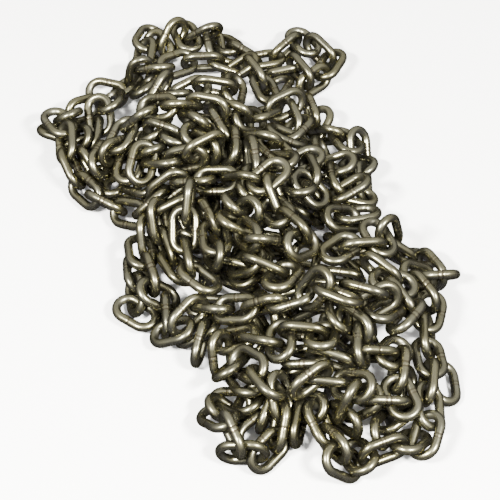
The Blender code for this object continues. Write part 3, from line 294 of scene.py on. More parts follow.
def passes(c, axis, across, normal, lines):
    """How often each closed line passes through the hole of the link at c."""
    rel = lines - c
    x, y, z = dot(rel, axis), dot(rel, across), dot(rel, normal)
    x1, y1, z1 = (np.roll(a, -1, -1) for a in (x, y, z))
    change = (z < 0) != (z1 < 0)
    t = z / np.where(change, z - z1, 1.0)
    at_x = x + (x1 - x) * t
    at_y = y + (y1 - y) * t
    off = np.maximum(np.abs(at_x) - STRAIGHT, 0)
    inside = change & (off * off + at_y * at_y < BEND * BEND)
    return np.abs(np.where(inside, np.where(z1 > z, 1, -1), 0).sum(-1))


class Heap:
    """Place and attitude of every upper link: c, axis (long side), across and normal."""

    def __init__(self, lengths):
        rows = [row for length in lengths for row in length]
        self.n = len(rows)
        self.starts = [0]
        for length in lengths:
            self.starts.append(self.starts[-1] + len(length))
        self.lifts = [sum(row[4] for row in length) / len(length) for length in lengths]
        self.open = np.array([row[3] for row in rows], float)
        self.c = np.array([self.first_place(row) for row in rows])
        self.away = unit(np.array([ray_at(row[0], row[1]) for row in rows]))
        self.level = unit(RIGHT - self.away[:, 0:1] * self.away)
        down = cross(self.away, self.level)
        self.down = np.where((dot(down, UP) > 0)[:, None], -down, down)
        self.cosine = np.array([math.cos(math.radians(row[2])) for row in rows])
        self.sine = np.array([math.sin(math.radians(row[2])) for row in rows])
        self.seen_axis = unit(self.level * self.cosine[:, None] + self.down * self.sine[:, None])
        self.find_links()

    def first_place(self, row):
        u, v, lift = row[0], row[1], row[4]
        p = place_at(u, v, USUAL_HEIGHT)
        for _ in range(2):
            p = place_at(u, v, float(mound(p[0], p[1])) + lift)
        return p

    def find_links(self):
        """Which links are linked, how close they may come, and the length that each run of links is in."""
        self.linked = np.zeros((self.n, self.n), bool)
        self.least_linked = np.full((self.n, self.n), BEARING)
        self.length_of_run = []
        for k, (a, b) in enumerate(zip(self.starts, self.starts[1:])):
            runs = -(-(b - a) // MOST_IN_RUN)
            self.length_of_run.extend([k] * runs)
            ends = [a + (b - a) * m // runs for m in range(1, runs)]
            for i in range(a + 1, b):
                self.linked[i - 1, i] = self.linked[i, i - 1] = True
                if i in ends:
                    self.least_linked[i - 1, i] = self.least_linked[i, i - 1] = BETWEEN_RUNS

    def space_centres(self):
        """Neighbours of a length brought within a pitch of each other, mostly in depth."""
        i = np.array([a for a in range(self.n - 1) if self.linked[a, a + 1]])
        j = i + 1
        home = self.c.copy()
        for _ in range(SPACING_ROUNDS):
            gap = self.c[j] - self.c[i]
            length = size(gap)
            push = gap * ((length - np.clip(length, NEAR_CENTRES, FAR_CENTRES)) / length * 0.5)[:, None]
            move = summed(i, push, self.n) - summed(j, push, self.n)
            deep = dot(move, self.away)[:, None] * self.away
            self.c = self.c + deep * GIVE_DEEP + (move - deep) * GIVE_FLAT
            back = home - self.c
            deep = dot(back, self.away)[:, None] * self.away
            self.c = self.c + deep * BACK_DEEP + (back - deep) * BACK_FLAT
            self.c[:, 2] = np.maximum(self.c[:, 2], mound(self.c[:, 0], self.c[:, 1]) + FLOOR)
            self.c = np.round(self.c, 5)

    def attitudes(self, i):
        """Axes and normals near the reading of link i, with what each costs."""
        ray = -self.away[i]
        found = []
        for turn in TURNS:
            c, s = math.cos(turn), math.sin(turn)
            flat = (self.level[i] * (self.cosine[i] * c - self.sine[i] * s)
                    + self.down[i] * (self.sine[i] * c + self.cosine[i] * s))
            for slope in SLOPES:
                axis = flat * math.cos(slope) + ray * math.sin(slope)
                seen = unit(ray - dot(ray, axis) * axis)
                beside = cross(axis, seen)
                for roll in ROLLS:
                    normal = seen * math.cos(roll) + beside * math.sin(roll)
                    opened = abs(float(dot(normal, ray)))
                    cost = ((turn / TURN_EASE) ** 2 + ((opened - self.open[i]) / OPEN_EASE) ** 2
                            + (axis[2] / SLOPE_EASE) ** 2)
                    found.append((axis, normal, cost))
        axes, normals, costs = (np.array(values) for values in zip(*found))
        keep = np.argsort(np.round(costs, 9), kind="stable")[:MOST_ATTITUDES]
        return axes[keep], normals[keep], costs[keep]

    def thread(self):
        """Lays each length link by link, in the attitude nearest its reading that is threaded and clear."""
        self.axis, self.normal, self.across = (np.zeros((self.n, 3)) for _ in range(3))
        placed = []
        for k in sorted(range(len(self.lifts)), key=lambda k: self.lifts[k]):
            for i in range(self.starts[k], self.starts[k + 1]):
                self.lay_link(i, i - 1 if i > self.starts[k] else None, placed)
                placed.append(i)
        self.square()

    def lay_link(self, i, before, placed):
        """Lays link i, threaded through the one before it and clear of those that are placed."""
        home, ray = self.c[i].copy(), -self.away[i]
        coarse, fine = centreline(4, 2), centreline(6, 2)
        axes, normals, cost_of = self.attitudes(i)
        sides = cross(normals, axes)
        shape = laid(coarse, np.zeros((1, 3)), axes, sides)
        pull = np.zeros(3)
        if before is not None:
            pull = unit(self.c[before] - home)
            pull = pull - dot(pull, ray) * ray
        lines, costs, moves = [], [], []
        for depth in DEPTHS:
            for drawn in DRAWN:
                move = ray * depth + pull * drawn
                line = home + move + shape
                low = line[:, :, 2] - mound(line[:, :, 0], line[:, :, 1]) - FLOOR
                sunk = np.minimum(low.min(1), 0)
                cost = (cost_of + (depth / DEPTH_EASE) ** 2 + (drawn / DRAWN_EASE) ** 2
                        + (sunk / SINK_EASE) ** 2)
                if before is not None:
                    cost = cost + np.where(self.through(before, line) == 1, 0.0, UNTHREADED_COST)
                lines.append(line)
                costs.append(cost)
                moves.append(np.repeat(move[None], len(cost), 0))
        costs = np.concatenate(costs)
        best = np.argsort(np.round(costs, 6), kind="stable")[:MOST_PLACES]
        lines, costs, moves = np.concatenate(lines)[best], costs[best], np.concatenate(moves)[best]
        for j in placed:
            if float(size(self.c[j] - home)) > FAR_APART:
                continue
            other = laid(fine, self.c[j], self.axis[j], self.across[j])
            gap = lines[:, :, None] - other[None, None]
            gap = np.sqrt(dot(gap, gap).min((1, 2)))
            want, soft = LINKED_GAP if self.linked[i, j] else OTHER_GAP
            costs = costs + (np.maximum(want - gap, 0) / soft) ** 2
            if not self.linked[i, j]:
                costs = costs + HOOKED_COST * self.through(j, lines)
        m = int(np.argmin(np.round(costs, 6)))
        pick = best[m] % len(cost_of)
        self.c[i] = np.round(home + moves[m], 5)
        self.axis[i], self.normal[i], self.across[i] = axes[pick], normals[pick], sides[pick]

    def through(self, j, lines):
        return passes(self.c[j], self.axis[j], self.across[j], self.normal[j], lines)

    def square(self):
        self.axis = unit(np.round(self.axis, 7))
        normal = np.round(self.normal, 7)
        self.normal = unit(normal - dot(normal, self.axis)[:, None] * self.axis)
        self.across = cross(self.normal, self.axis)

    def points(self, line):
        return laid(line, self.c, self.axis, self.across)

    def find_pairs(self):
        """Pairs of wire pieces near enough to touch soon."""
        here = self.points(self.line)
        middle = (here + np.roll(here, -1, axis=1)) / 2
        gap = self.c[:, None, :] - self.c[None, :, :]
        first, second = np.nonzero(np.triu(dot(gap, gap) < NEAR_LINKS ** 2, 1))
        gap = middle[first][:, :, None, :] - middle[second][:, None, :, :]
        pair, piece_i, piece_j = np.nonzero(dot(gap, gap) < NEAR_PIECES_SQUARED)
        i, j = first[pair], second[pair]
        self.pairs = (i, j, piece_i, piece_j)
        self.least = np.where(self.linked[i, j], self.least_linked[i, j], APART)

    def nearest(self, here):
        """Nearest points of each pair of wire pieces, and their distance."""
        i, j, piece_i, piece_j = self.pairs
        onward = np.roll(here, -1, axis=1)
        a0, b0 = here[i, piece_i], here[j, piece_j]
        d1, d2 = onward[i, piece_i] - a0, onward[j, piece_j] - b0
        r = a0 - b0
        a, e, f = dot(d1, d1), dot(d2, d2), dot(d2, r)
        c, b = dot(d1, r), dot(d1, d2)
        spread = a * e - b * b
        s = np.where(spread > 1e-9, np.clip((b * f - c * e) / np.maximum(spread, 1e-9), 0, 1), 0.5)
        t = (b * s + f) / e
        s = np.where(t < 0, np.clip(-c / a, 0, 1), np.where(t > 1, np.clip((b - c) / a, 0, 1), s))
        t = np.clip(t, 0, 1)
        on_i = a0 + d1 * s[:, None]
        on_j = b0 + d2 * t[:, None]
        return on_i, on_j, np.maximum(size(on_i - on_j), 1e-6)

    def push_apart(self):
        """One step that clears the wires of each other, of the floor and of the mound."""
        here = self.points(self.line)
        on_i, on_j, gap = self.nearest(here)
        worst = np.zeros(self.n)
        for links in self.pairs[:2]:
            np.maximum.at(worst, links, self.least - gap)
        self.ease = np.clip(TIGHT - worst, 0.0, 1.0)[:, None]
        hit = gap < self.least
        i, j = self.pairs[0][hit], self.pairs[1][hit]
        way = (on_i - on_j)[hit] / gap[hit][:, None]
        lever_i = cross(on_i[hit] - self.c[i], way)
        lever_j = cross(on_j[hit] - self.c[j], way)
        share = (self.least - gap)[hit] / (2 + (dot(lever_i, lever_i) + dot(lever_j, lever_j)) / GYRATION)
        share = share[:, None]
        ground = np.maximum(mound(here[:, :, 0], here[:, :, 1]), 0) + FLOOR
        sink = ground - here[:, :, 2]
        low, at = np.nonzero(sink > 0)
        arm = here[low, at] - self.c[low]
        lever_up = np.stack([arm[:, 1], -arm[:, 0], np.zeros(len(low))], axis=-1)
        rise = sink[low, at] / (1 + dot(lever_up, lever_up) / GYRATION)
        count = np.bincount(np.concatenate([i, j, low]), minlength=self.n)
        move = summed(i, way * share, self.n) - summed(j, way * share, self.n)
        move[:, 2] += np.bincount(low, rise, self.n)
        turn = (summed(i, lever_i * share, self.n) - summed(j, lever_j * share, self.n)
                + summed(low, lever_up * rise[:, None], self.n)) / GYRATION
        part = (PUSH / np.maximum(count, 1))[:, None]
        deep = dot(move, self.away)[:, None] * self.away
        self.shift((deep + (move - deep) * SIDEWAYS) * part, turn * part)

    def shift(self, move, turn):
        move = move * np.minimum(1, MOST_MOVE / np.maximum(size(move), 1e-9))[:, None]
        turn = turn * np.minimum(1, MOST_TURN / np.maximum(size(turn), 1e-9))[:, None]
        self.c = np.round(self.c + move, 5)
        self.axis = self.axis + cross(turn, self.axis)
        self.normal = self.normal + cross(turn, self.normal)
        self.square()

    def draw_back(self):
        """Part of the way back to the place and the attitude that were read, less where links are jammed."""
        rel = self.c - EYE
        back = EYE + self.away * dot(rel, self.away)[:, None] - self.c
        ray = unit(EYE - self.c)
        deep = np.clip(dot(self.axis, ray), -MOST_DEEP, MOST_DEEP)
        flat = sign(dot(self.axis, self.seen_axis)) * np.sqrt(1 - deep * deep)
        want = unit(self.seen_axis * flat[:, None] + ray * deep[:, None])
        seen = unit(ray - dot(ray, want)[:, None] * want)
        most = np.sqrt(np.maximum(1 - dot(ray, want) ** 2, 1e-6))
        cosine = np.clip(self.open / most, 0, 1)
        sine = np.sqrt(1 - cosine * cosine)
        beside = cross(want, seen)
        goal = (seen * (sign(dot(self.normal, seen)) * cosine)[:, None]
                + beside * (sign(dot(self.normal, beside)) * sine)[:, None])
        turn = (cross(self.axis, want) + cross(self.normal, goal)) * 0.5
        self.shift(back * HOLD * self.ease, turn * HOLD * self.ease)

    def settle(self):
        """Draws the links toward their readings and down, then only clears them of each other."""
        self.line = centreline(8, 2)
        self.ease = np.ones((self.n, 1))
        for k in range(SETTLE_ROUNDS + QUIET_ROUNDS):
            if k % PAIRS_EVERY == 0:
                self.find_pairs()
            if k < SETTLE_ROUNDS:
                self.draw_back()
                self.shift(self.away * SINKING, np.zeros((self.n, 3)))
            for _ in range(PUSHES):
                self.push_apart()


def lay_heap():
    heap = Heap(LENGTHS)
    heap.space_centres()
    heap.thread()
    heap.settle()
    return heap


# Places where the photograph shows the ground through the heap
OPEN_PLACES = [
    (102, 90), (115, 97), (129, 88), (131, 110), (87, 115), (57, 123), (66, 146), (96, 143), (77, 168),
    (97, 165), (147, 30), (147, 43), (220, 40), (293, 41), (300, 68), (305, 78), (253, 95), (361, 177),
    (391, 325), (385, 380), (273, 362), (432, 313), (432, 338), (432, 365), (430, 410), (411, 340),
    (411, 355), (411, 370), (122, 177), (172, 285), (284, 445), (410, 325), (418, 425),
]
OPEN_RADIUS = 13.0
PICTURE = 500
WIRE_PIXELS = 4
CLOSING_PIXELS = 14

# The floor under the heap, as square cells, and how far from a wire a lower link may reach
CELL = 3.0
CELLS = 300
COVER = 9.0
UNDERNEATH = 9.0
LEAST_CEILING = 20.0

# The room in and round the heap, as cubic cells
ROOM_LOW = np.array([-270.0, -370.0, 0.0])
ROOM_CELL = 2.5
ROOM_SHAPE = np.array([216, 296, 52])
ROOM_REACH = 6
ROOM_EMPTY = 20.0

# Least distances between a lower link and the others, and the most at which it still rests on one
LOWER_APART = 10.4
NEXT_APART = 10.1
RESTING = 11.5
FOOT_REACH = 0.93
FALL = np.array([0.0, 0.0, 1.0])

# Candidates for a lower link: how many, how steep, how much room in cells, and how many are tried out
CANDIDATES = 900
STEEPEST_FIRST = 0.9
STEEPEST_NEXT = 1.2
ROUGH_APART = 8.6
JOINT_REACH = 15.0
JOINT_APART = 9.5
LOW_FIRST = 0.4
MOST_TRIES = 50
NEAR_LOWER = 80.0

MOST_LOWER = 7
LOWER_LINKS = 57
LOWER_SPACING = 20.0
LEAST_GAIN = 12.0
LOWER_SEED = 8


def pixels_of(points):
    """Where points stand in the photograph."""
    rel = points - EYE
    depth = dot(rel, FORWARD)
    return MIDDLE + FOCAL * dot(rel, RIGHT) / depth, MIDDLE - FOCAL * dot(rel, UP) / depth


def picture_cells(points):
    return tuple(np.clip(np.round(at).astype(int), 0, PICTURE - 1) for at in pixels_of(points))


def floor_cells(points):
    at = np.clip(np.round(points[..., :2] / CELL).astype(int) + CELLS // 2, 0, CELLS - 1)
    return at[..., 0], at[..., 1]


def off_open_places(u, v):
    """Whether each place in the photograph is clear of those that show the ground."""
    clear = np.ones(u.shape, bool)
    for open_u, open_v in OPEN_PLACES:
        clear &= (u - open_u) ** 2 + (v - open_v) ** 2 > OPEN_RADIUS ** 2
    return clear


def on_floor(wire):
    """Whether part of this wire lies on the floor, well under the heap."""
    rim = MOUND_TOP * (1 - FOOT_REACH * FOOT_REACH)
    return bool(((wire[:, 2] < FLOOR + 1.0) & (mound(wire[:, 0], wire[:, 1]) > rim + 4)).any())


def spread(mask, reach):
    """Every cell within this reach of a cell that is set."""
    rows, columns = mask.shape
    wide = np.zeros((rows + 2 * reach, columns + 2 * reach), bool)
    for dx, dy in steps_within(reach, reach * reach + 1):
        wide[reach + dx:reach + dx + rows, reach + dy:reach + dy + columns] |= mask
    return wide[reach:-reach, reach:-reach]


class Room:
    """How far each place in and round the heap is from the nearest wire, kept in cells."""

    def __init__(self):
        self.gap = np.full(ROOM_SHAPE, ROOM_EMPTY, np.float32)

    def add(self, points):
        """Wires through these points."""
        cells = np.arange(2 * ROOM_REACH + 1)
        for p in points:
            first = np.round((p - ROOM_LOW) / ROOM_CELL).astype(int) - ROOM_REACH
            a, b, c = np.clip(first, 0, ROOM_SHAPE - len(cells))
            x, y, z = ((cells + at) * ROOM_CELL + ROOM_LOW[k] - p[k] for k, at in enumerate((a, b, c)))
            far = np.sqrt((x * x)[:, None, None] + (y * y)[:, None] + z * z)
            part = self.gap[a:a + len(cells), b:b + len(cells), c:c + len(cells)]
            np.minimum(part, far, out=part)

    def at(self, points):
        cell = np.round((points - ROOM_LOW) / ROOM_CELL).astype(int)
        cell = np.clip(cell, 0, ROOM_SHAPE - 1)
        return self.gap[tuple(np.moveaxis(cell, -1, 0))]


class Filling:
    """Lower links, laid in threaded lengths in the room that the upper ones leave, each at rest."""

    def __init__(self, heap):
        self.rng = np.random.default_rng(LOWER_SEED)
        self.line = centreline(12, 4)
        self.coarse = centreline(6, 2)
        self.upper = heap.n
        self.centres = heap.c.copy()
        self.lines = heap.points(self.line)
        self.lengths = []
        dense = heap.points(centreline(18, 6)).reshape(-1, 3)
        self.room = Room()
        self.room.add(dense)
        self.ceiling = self.find_ceiling(dense)
        self.covered = np.zeros((PICTURE, PICTURE), bool)
        self.covered[picture_cells(dense)] = True
        self.covered = spread(self.covered, WIRE_PIXELS)
        self.closed = ~spread(~spread(self.covered, CLOSING_PIXELS), CLOSING_PIXELS)
        self.closed &= off_open_places(*np.indices((PICTURE, PICTURE)))
        self.find_need()

    def find_need(self):
        """How much bare ground a wire at each place of the photograph would hide."""
        bare = (self.closed & ~self.covered).astype(np.float32)
        self.need = np.zeros_like(bare)
        for dx, dy in steps_within(3, 10):
            self.need += np.roll(bare, (dx, dy), (0, 1))

    def find_ceiling(self, wires):
        """The greatest height of a wire over each cell of the floor or close by, or 0."""
        top = np.zeros((CELLS, CELLS))
        at_x, at_y = floor_cells(wires)
        reach = int(COVER / CELL)
        for dx, dy in steps_within(reach, reach * reach):
            np.maximum.at(top, (at_x + dx, at_y + dy), wires[:, 2])
        return top

    def attitudes(self, steepest):
        """Random axes and normals, with the long side no steeper than this."""
        heading = self.draw(0, 2 * math.pi)
        slope = self.draw(-steepest, steepest)
        roll = self.draw(0, math.pi)
        axis = np.stack([np.cos(heading) * np.cos(slope), np.sin(heading) * np.cos(slope), np.sin(slope)], -1)
        beside = np.stack([-np.sin(heading), np.cos(heading), np.zeros(CANDIDATES)], -1)
        upward = cross(axis, beside)
        normal = beside * np.cos(roll)[:, None] + upward * np.sin(roll)[:, None]
        return np.round(axis, 6), np.round(normal, 6)

    def fitting(self, centre, axis, normal, before):
        """Numbers of the candidates that seem to have room, those that hide most ground first."""
        line = laid(self.coarse, centre, axis, cross(normal, axis))
        under = self.ceiling[floor_cells(line)] - line[:, :, 2]
        fits = (line[:, :, 2].min(1) > FLOOR) & (under.min(1) > UNDERNEATH)
        keep = np.nonzero(fits)[0]
        gap = self.room.at(line[keep])
        if before is not None:
            own = line[keep][:, :, None] - self.lines[before][None, None]
            own = np.sqrt(dot(own, own).min(2))
            gap = np.where((own < JOINT_REACH) & (own.min(1) > JOINT_APART)[:, None], ROOM_EMPTY, gap)
        keep = keep[gap.min(1) > ROUGH_APART]
        keep = keep[off_open_places(*pixels_of(line[keep])).all(1)]
        gain = self.need[picture_cells(line[keep])].sum(1) - LOW_FIRST * line[keep][:, :, 2].min(1)
        gain = np.round(gain, 3)
        order = np.argsort(-gain, kind="stable")
        return keep[order], gain[order]

    def gaps(self, wire, near):
        """The least distance from this wire to each of these links."""
        gap = with_middles(wire)[None, :, None] - self.lines[near][:, None]
        return np.sqrt(dot(gap, gap).min((1, 2)))

    def rest(self, centre, axis, across, normal, before):
        """The lowest place straight below at which the link is clear of all, or None."""
        near = np.nonzero(size(self.centres - centre) < NEAR_LOWER)[0]
        least = np.where(near == before, NEXT_APART, LOWER_APART)
        found = None
        while True:
            wire = laid(self.line, centre, axis, across)
            gap = self.gaps(wire, near)
            if (gap < least).any() or wire[:, 2].min() < FLOOR:
                break
            found = (centre, gap, wire)
            centre = centre - FALL
        if found is None:
            return None
        centre, gap, wire = found
        threaded = (passes(centre, axis, across, normal, self.lines[near]) == (near == before)).all()
        rests = on_floor(wire) or (gap[near >= self.upper] < RESTING).any()
        return centre if threaded and rests else None

    def try_link(self, centre, axis, normal, before):
        """Lays the best of these candidates that comes to rest."""
        centre = np.round(centre, 4)
        keep, gain = self.fitting(centre, axis, normal, before)
        for k, worth in zip(keep[:MOST_TRIES], gain):
            if worth < LEAST_GAIN:
                break
            across = cross(normal[k], axis[k])
            place = self.rest(centre[k], axis[k], across, normal[k], before)
            if place is not None:
                return self.lay(place, axis[k], across, normal[k])
        return None

    def lay(self, centre, axis, across, normal):
        wire = laid(self.line, centre, axis, across)
        self.centres = np.concatenate([self.centres, centre[None]])
        self.lines = np.concatenate([self.lines, wire[None]])
        more = with_middles(wire)
        self.room.add(more)
        seen = np.zeros((PICTURE, PICTURE), bool)
        seen[picture_cells(more)] = True
        self.covered |= spread(seen, WIRE_PIXELS)
        self.find_need()
        return centre, axis, across, normal

    def draw(self, low, high):
        return self.rng.uniform(low, high, CANDIDATES)

    def start(self, x, y):
        """The first link of a length, near this place."""
        centre = np.stack([x + self.draw(-14, 14), y + self.draw(-14, 14), self.draw(6, 70)], -1)
        axis, normal = self.attitudes(STEEPEST_FIRST)
        return self.try_link(centre, axis, normal, -1)

    def follow(self, last):
        """A link threaded through the last one."""
        axes, normals = self.attitudes(STEEPEST_NEXT)
        way = sign(dot(axes, last[1][None]))
        place = last[0] + last[1] * (way * (STRAIGHT + BEND - LOWER_APART))[:, None]
        centres = place + axes * (STRAIGHT + BEND - self.draw(0, 2.5))[:, None]
        return self.try_link(centres, axes, normals, len(self.centres) - 1)

    def fill(self):
        """Lays lengths outward from places over the whole heap, where most bare ground is hidden first."""
        places = np.array([(x, y, 10.0) for x in np.arange(-231.0, 232.0, LOWER_SPACING)
                           for y in np.arange(-330.0, 361.0, LOWER_SPACING)])
        wide = np.zeros_like(self.need)
        for dx in range(-12, 13, 6):
            for dy in range(-12, 13, 6):
                wide += np.roll(self.need, (dx, dy), (0, 1))
        worth = wide[picture_cells(places)]
        for k in np.argsort(-worth, kind="stable"):
            if len(self.centres) >= self.upper + LOWER_LINKS:
                break
            if self.ceiling[floor_cells(places[k])] < LEAST_CEILING:
                continue
            last = self.start(places[k][0], places[k][1])
            length = []
            while last is not None and len(length) < MOST_LOWER:
                length.append(last)
                last = self.follow(last)
            if length:
                self.lengths.append(length)


def fill_heap(heap):
    """The lower lengths, where they hide bare ground."""
    filling = Filling(heap)
    filling.fill()
    return filling.lengths


def box_middle(points):
    """The middle of the box round these points, in x and y."""
    middle = (points.min(0) + points.max(0)) / 2
    return np.array([round(float(middle[0]), 3), round(float(middle[1]), 3), 0.0])


# Fine shape of one link: how far its weld stands out, and how far its bows are flattened and worn
WIRE_RADIUS = WIRE / 2
GROOVE_WIDTH = 0.75
WELD_RISE = 0.10
FLATTENED = 0.10
WORN_DEPTH = 0.15
# The weld at the middle of one long side: where its grooves lie, and how deep they are
WELDS = (((-2.4, 2.4), 0.30), ((0.0,), 0.34), ((-1.8, 1.8), 0.16))
# A place along the weld side that is far from its weld
OFF_WELD = 99.0
SIDES = 20
ARC_STEPS = 14
WELD_STEPS = 24
PLAIN_STEPS = 4
LOOK_SEED = 7


def fine_stations():
    """Places round a link's wire: x, y, outward x, y, place along its weld side, and distance round."""
    stations = []
    bow = math.pi * BEND
    for turn, steps in ((0, WELD_STEPS), (1, PLAIN_STEPS)):
        side = 1 - 2 * turn
        for k in range(ARC_STEPS):
            part = (k + 0.5) / ARC_STEPS
            t = math.pi * (turn - 0.5) + math.pi * part
            cosine, sine = math.cos(t), math.sin(t)
            stations.append((side * STRAIGHT + BEND * cosine, BEND * sine, cosine, sine, OFF_WELD,
                             bow * (turn + part) + 2 * STRAIGHT * turn))
        for k in range(steps + 1):
            x = side * STRAIGHT * (1 - 2 * k / steps)
            length = (1 + turn) * bow + (1 + 2 * turn) * STRAIGHT - side * x
            stations.append((x, side * BEND, 0.0, side, OFF_WELD if turn else x, length))
    return np.array(stations)


def rows_of(*values):
    """One row a point, of these values of it."""
    return np.stack(values, -1).reshape(-1, 3)


class LinkShape:
    """Points of one link in its own x, y, z in millimetres, its faces, and where it is worn and welded."""

    def __init__(self, weld):
        stations = fine_stations()
        rings = len(stations)
        t = 2 * math.pi * np.arange(SIDES) / SIDES
        across, upward = np.cos(t), np.sin(t)
        x, y, out_x, out_y, along, length = (stations[:, k:k + 1] for k in range(6))
        places, depth = weld
        groove = sum(np.exp(-((along - place) / GROOVE_WIDTH) ** 2) for place in places)
        between = np.clip((places[-1] + 0.6 - np.abs(along)) / 0.8, 0, 1)
        bearing = np.clip((np.abs(out_x) - 0.55) / 0.45, 0, 1) * np.clip(-across * 1.4 - 0.2, 0, 1)
        bent = np.abs(x) > STRAIGHT
        bearing = np.where(bent, bearing, 0.0)
        # Bent wire is a little flatter on the outside of its bow
        bow = np.where(bent, np.clip(across, 0, 1), 0.0)
        radius = (WIRE_RADIUS + WELD_RISE * between - depth * groove * (0.6 + 0.4 * across)
                  - WORN_DEPTH * bearing - FLATTENED * bow)
        whole = np.ones((rings, SIDES))
        self.points = rows_of(x + out_x * across * radius, y + out_y * across * radius, upward * radius)
        self.marks = rows_of(bearing * whole, between * whole, groove * whole * min(1.0, depth * 5))
        # Where each point lies on the drawn wire: along it, and round it
        self.drawn = rows_of(length * whole * 0.02, across * whole, upward * whole)
        ring, k = np.arange(rings)[:, None] * SIDES, np.arange(SIDES)
        after, onward = (ring + SIDES) % (rings * SIDES), (k + 1) % SIDES
        self.faces = np.stack([ring + k, after + k, after + onward, ring + onward], -1).reshape(-1, 4)


def add_object(name, data):
    obj = bpy.data.objects.new(name, data)
    bpy.context.scene.collection.objects.link(obj)
    return obj


def joined_mesh(name, links, shapes, rng):
    """One mesh of all these links, each a centre, long side, side and normal."""
    count = len(shapes[0].points)
    points, marks, drawn = (np.empty((len(links), count, k), np.float32) for k in (3, 4, 3))
    for k, (centre, axis, across, normal) in enumerate(links):
        shape = shapes[int(rng.integers(len(shapes)))]
        flip, turn = (1.0 if rng.random() < 0.5 else -1.0 for _ in range(2))
        local = shape.points * np.array([turn, flip, turn * flip])
        points[k] = (centre + local[:, 0:1] * axis + local[:, 1:2] * across + local[:, 2:3] * normal) * METRE
        marks[k, :, :3] = shape.marks
        marks[k, :, 3] = rng.random()
        drawn[k] = shape.drawn + rng.uniform(0, 50, 3)
    faces = (shapes[0].faces[None] + (np.arange(len(links)) * count)[:, None, None]).reshape(-1, 4)
    mesh = bpy.data.meshes.new(name)
    mesh.vertices.add(len(links) * count)
    mesh.vertices.foreach_set("co", points.reshape(-1))
    mesh.loops.add(faces.size)
    mesh.loops.foreach_set("vertex_index", faces.reshape(-1).astype(np.int32))
    mesh.polygons.add(len(faces))
    mesh.polygons.foreach_set("loop_start", np.arange(0, faces.size, 4, dtype=np.int32))
    mesh.polygons.foreach_set("use_smooth", np.ones(len(faces), bool))
    mesh.update(calc_edges=True)
    mesh.validate()
    colours = mesh.attributes.new("marks", "FLOAT_COLOR", "POINT")
    colours.data.foreach_set("color", marks.reshape(-1))
    wires = mesh.attributes.new("drawn", "FLOAT_VECTOR", "POINT")
    wires.data.foreach_set("vector", drawn.reshape(-1))
    return add_object(name, mesh)


def dress(name, links, shapes, rng, material, nodes):
    obj = joined_mesh(name, links, shapes, rng)
    obj.data.materials.append(material)
    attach(obj, "root")
    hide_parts(*nodes)


# Colours of the steel: its drawn wire in two tones, the olive film and dark spots on it, where it is
# worn, and its weld with the grooves
STEEL_GREY = (0.127, 0.124, 0.097, 1.0)
STEEL_WARM = (0.133, 0.126, 0.084, 1.0)
OLIVE = (0.098, 0.096, 0.064, 1.0)
SPOT = (0.080, 0.070, 0.050, 1.0)
WORN = (0.150, 0.148, 0.137, 1.0)
WELD = (0.170, 0.162, 0.120, 1.0)
GROOVE = (0.036, 0.025, 0.016, 1.0)
EDGE_TINT = (0.30, 0.29, 0.26, 1.0)


class Shader:
    """A node tree built a node at a time, in columns in the order of making."""

    def __init__(self, tree):
        self.tree = tree
        self.made = 0

    def add(self, kind, inputs=(), **values):
        made = self.tree.nodes.new(kind)
        made.location = (-1800 + 250 * (self.made // 5), 600 - 250 * (self.made % 5))
        self.made += 1
        for key, value in values.items():
            setattr(made, key, value)
        for key, value in dict(inputs).items():
            self.feed(made.inputs[key], value)
        return made

    def feed(self, socket, value):
        """Links an output to this socket, or sets it."""
        if hasattr(value, "links"):
            self.tree.links.new(value, socket)
        else:
            socket.default_value = value

    def noise(self, vector, scale, detail, roughness):
        inputs = {"Vector": vector, "Scale": scale, "Detail": detail, "Roughness": roughness}
        return self.add("ShaderNodeTexNoise", inputs).outputs["Fac"]

    def span(self, value, low, high, to_low=0.0, to_high=1.0):
        inputs = {"Value": value, "From Min": low, "From Max": high, "To Min": to_low, "To Max": to_high}
        return self.add("ShaderNodeMapRange", inputs).outputs["Result"]

    def times(self, first, second):
        return self.add("ShaderNodeMath", {0: first, 1: second}, operation="MULTIPLY").outputs[0]

    def plus(self, first, second):
        return self.add("ShaderNodeMath", {0: first, 1: second}, operation="ADD").outputs[0]

    def mix(self, factor, first, second, blend="MIX"):
        inputs = {0: factor, 6: first, 7: second}
        return self.add("ShaderNodeMix", inputs, data_type="RGBA", blend_type=blend).outputs[2]


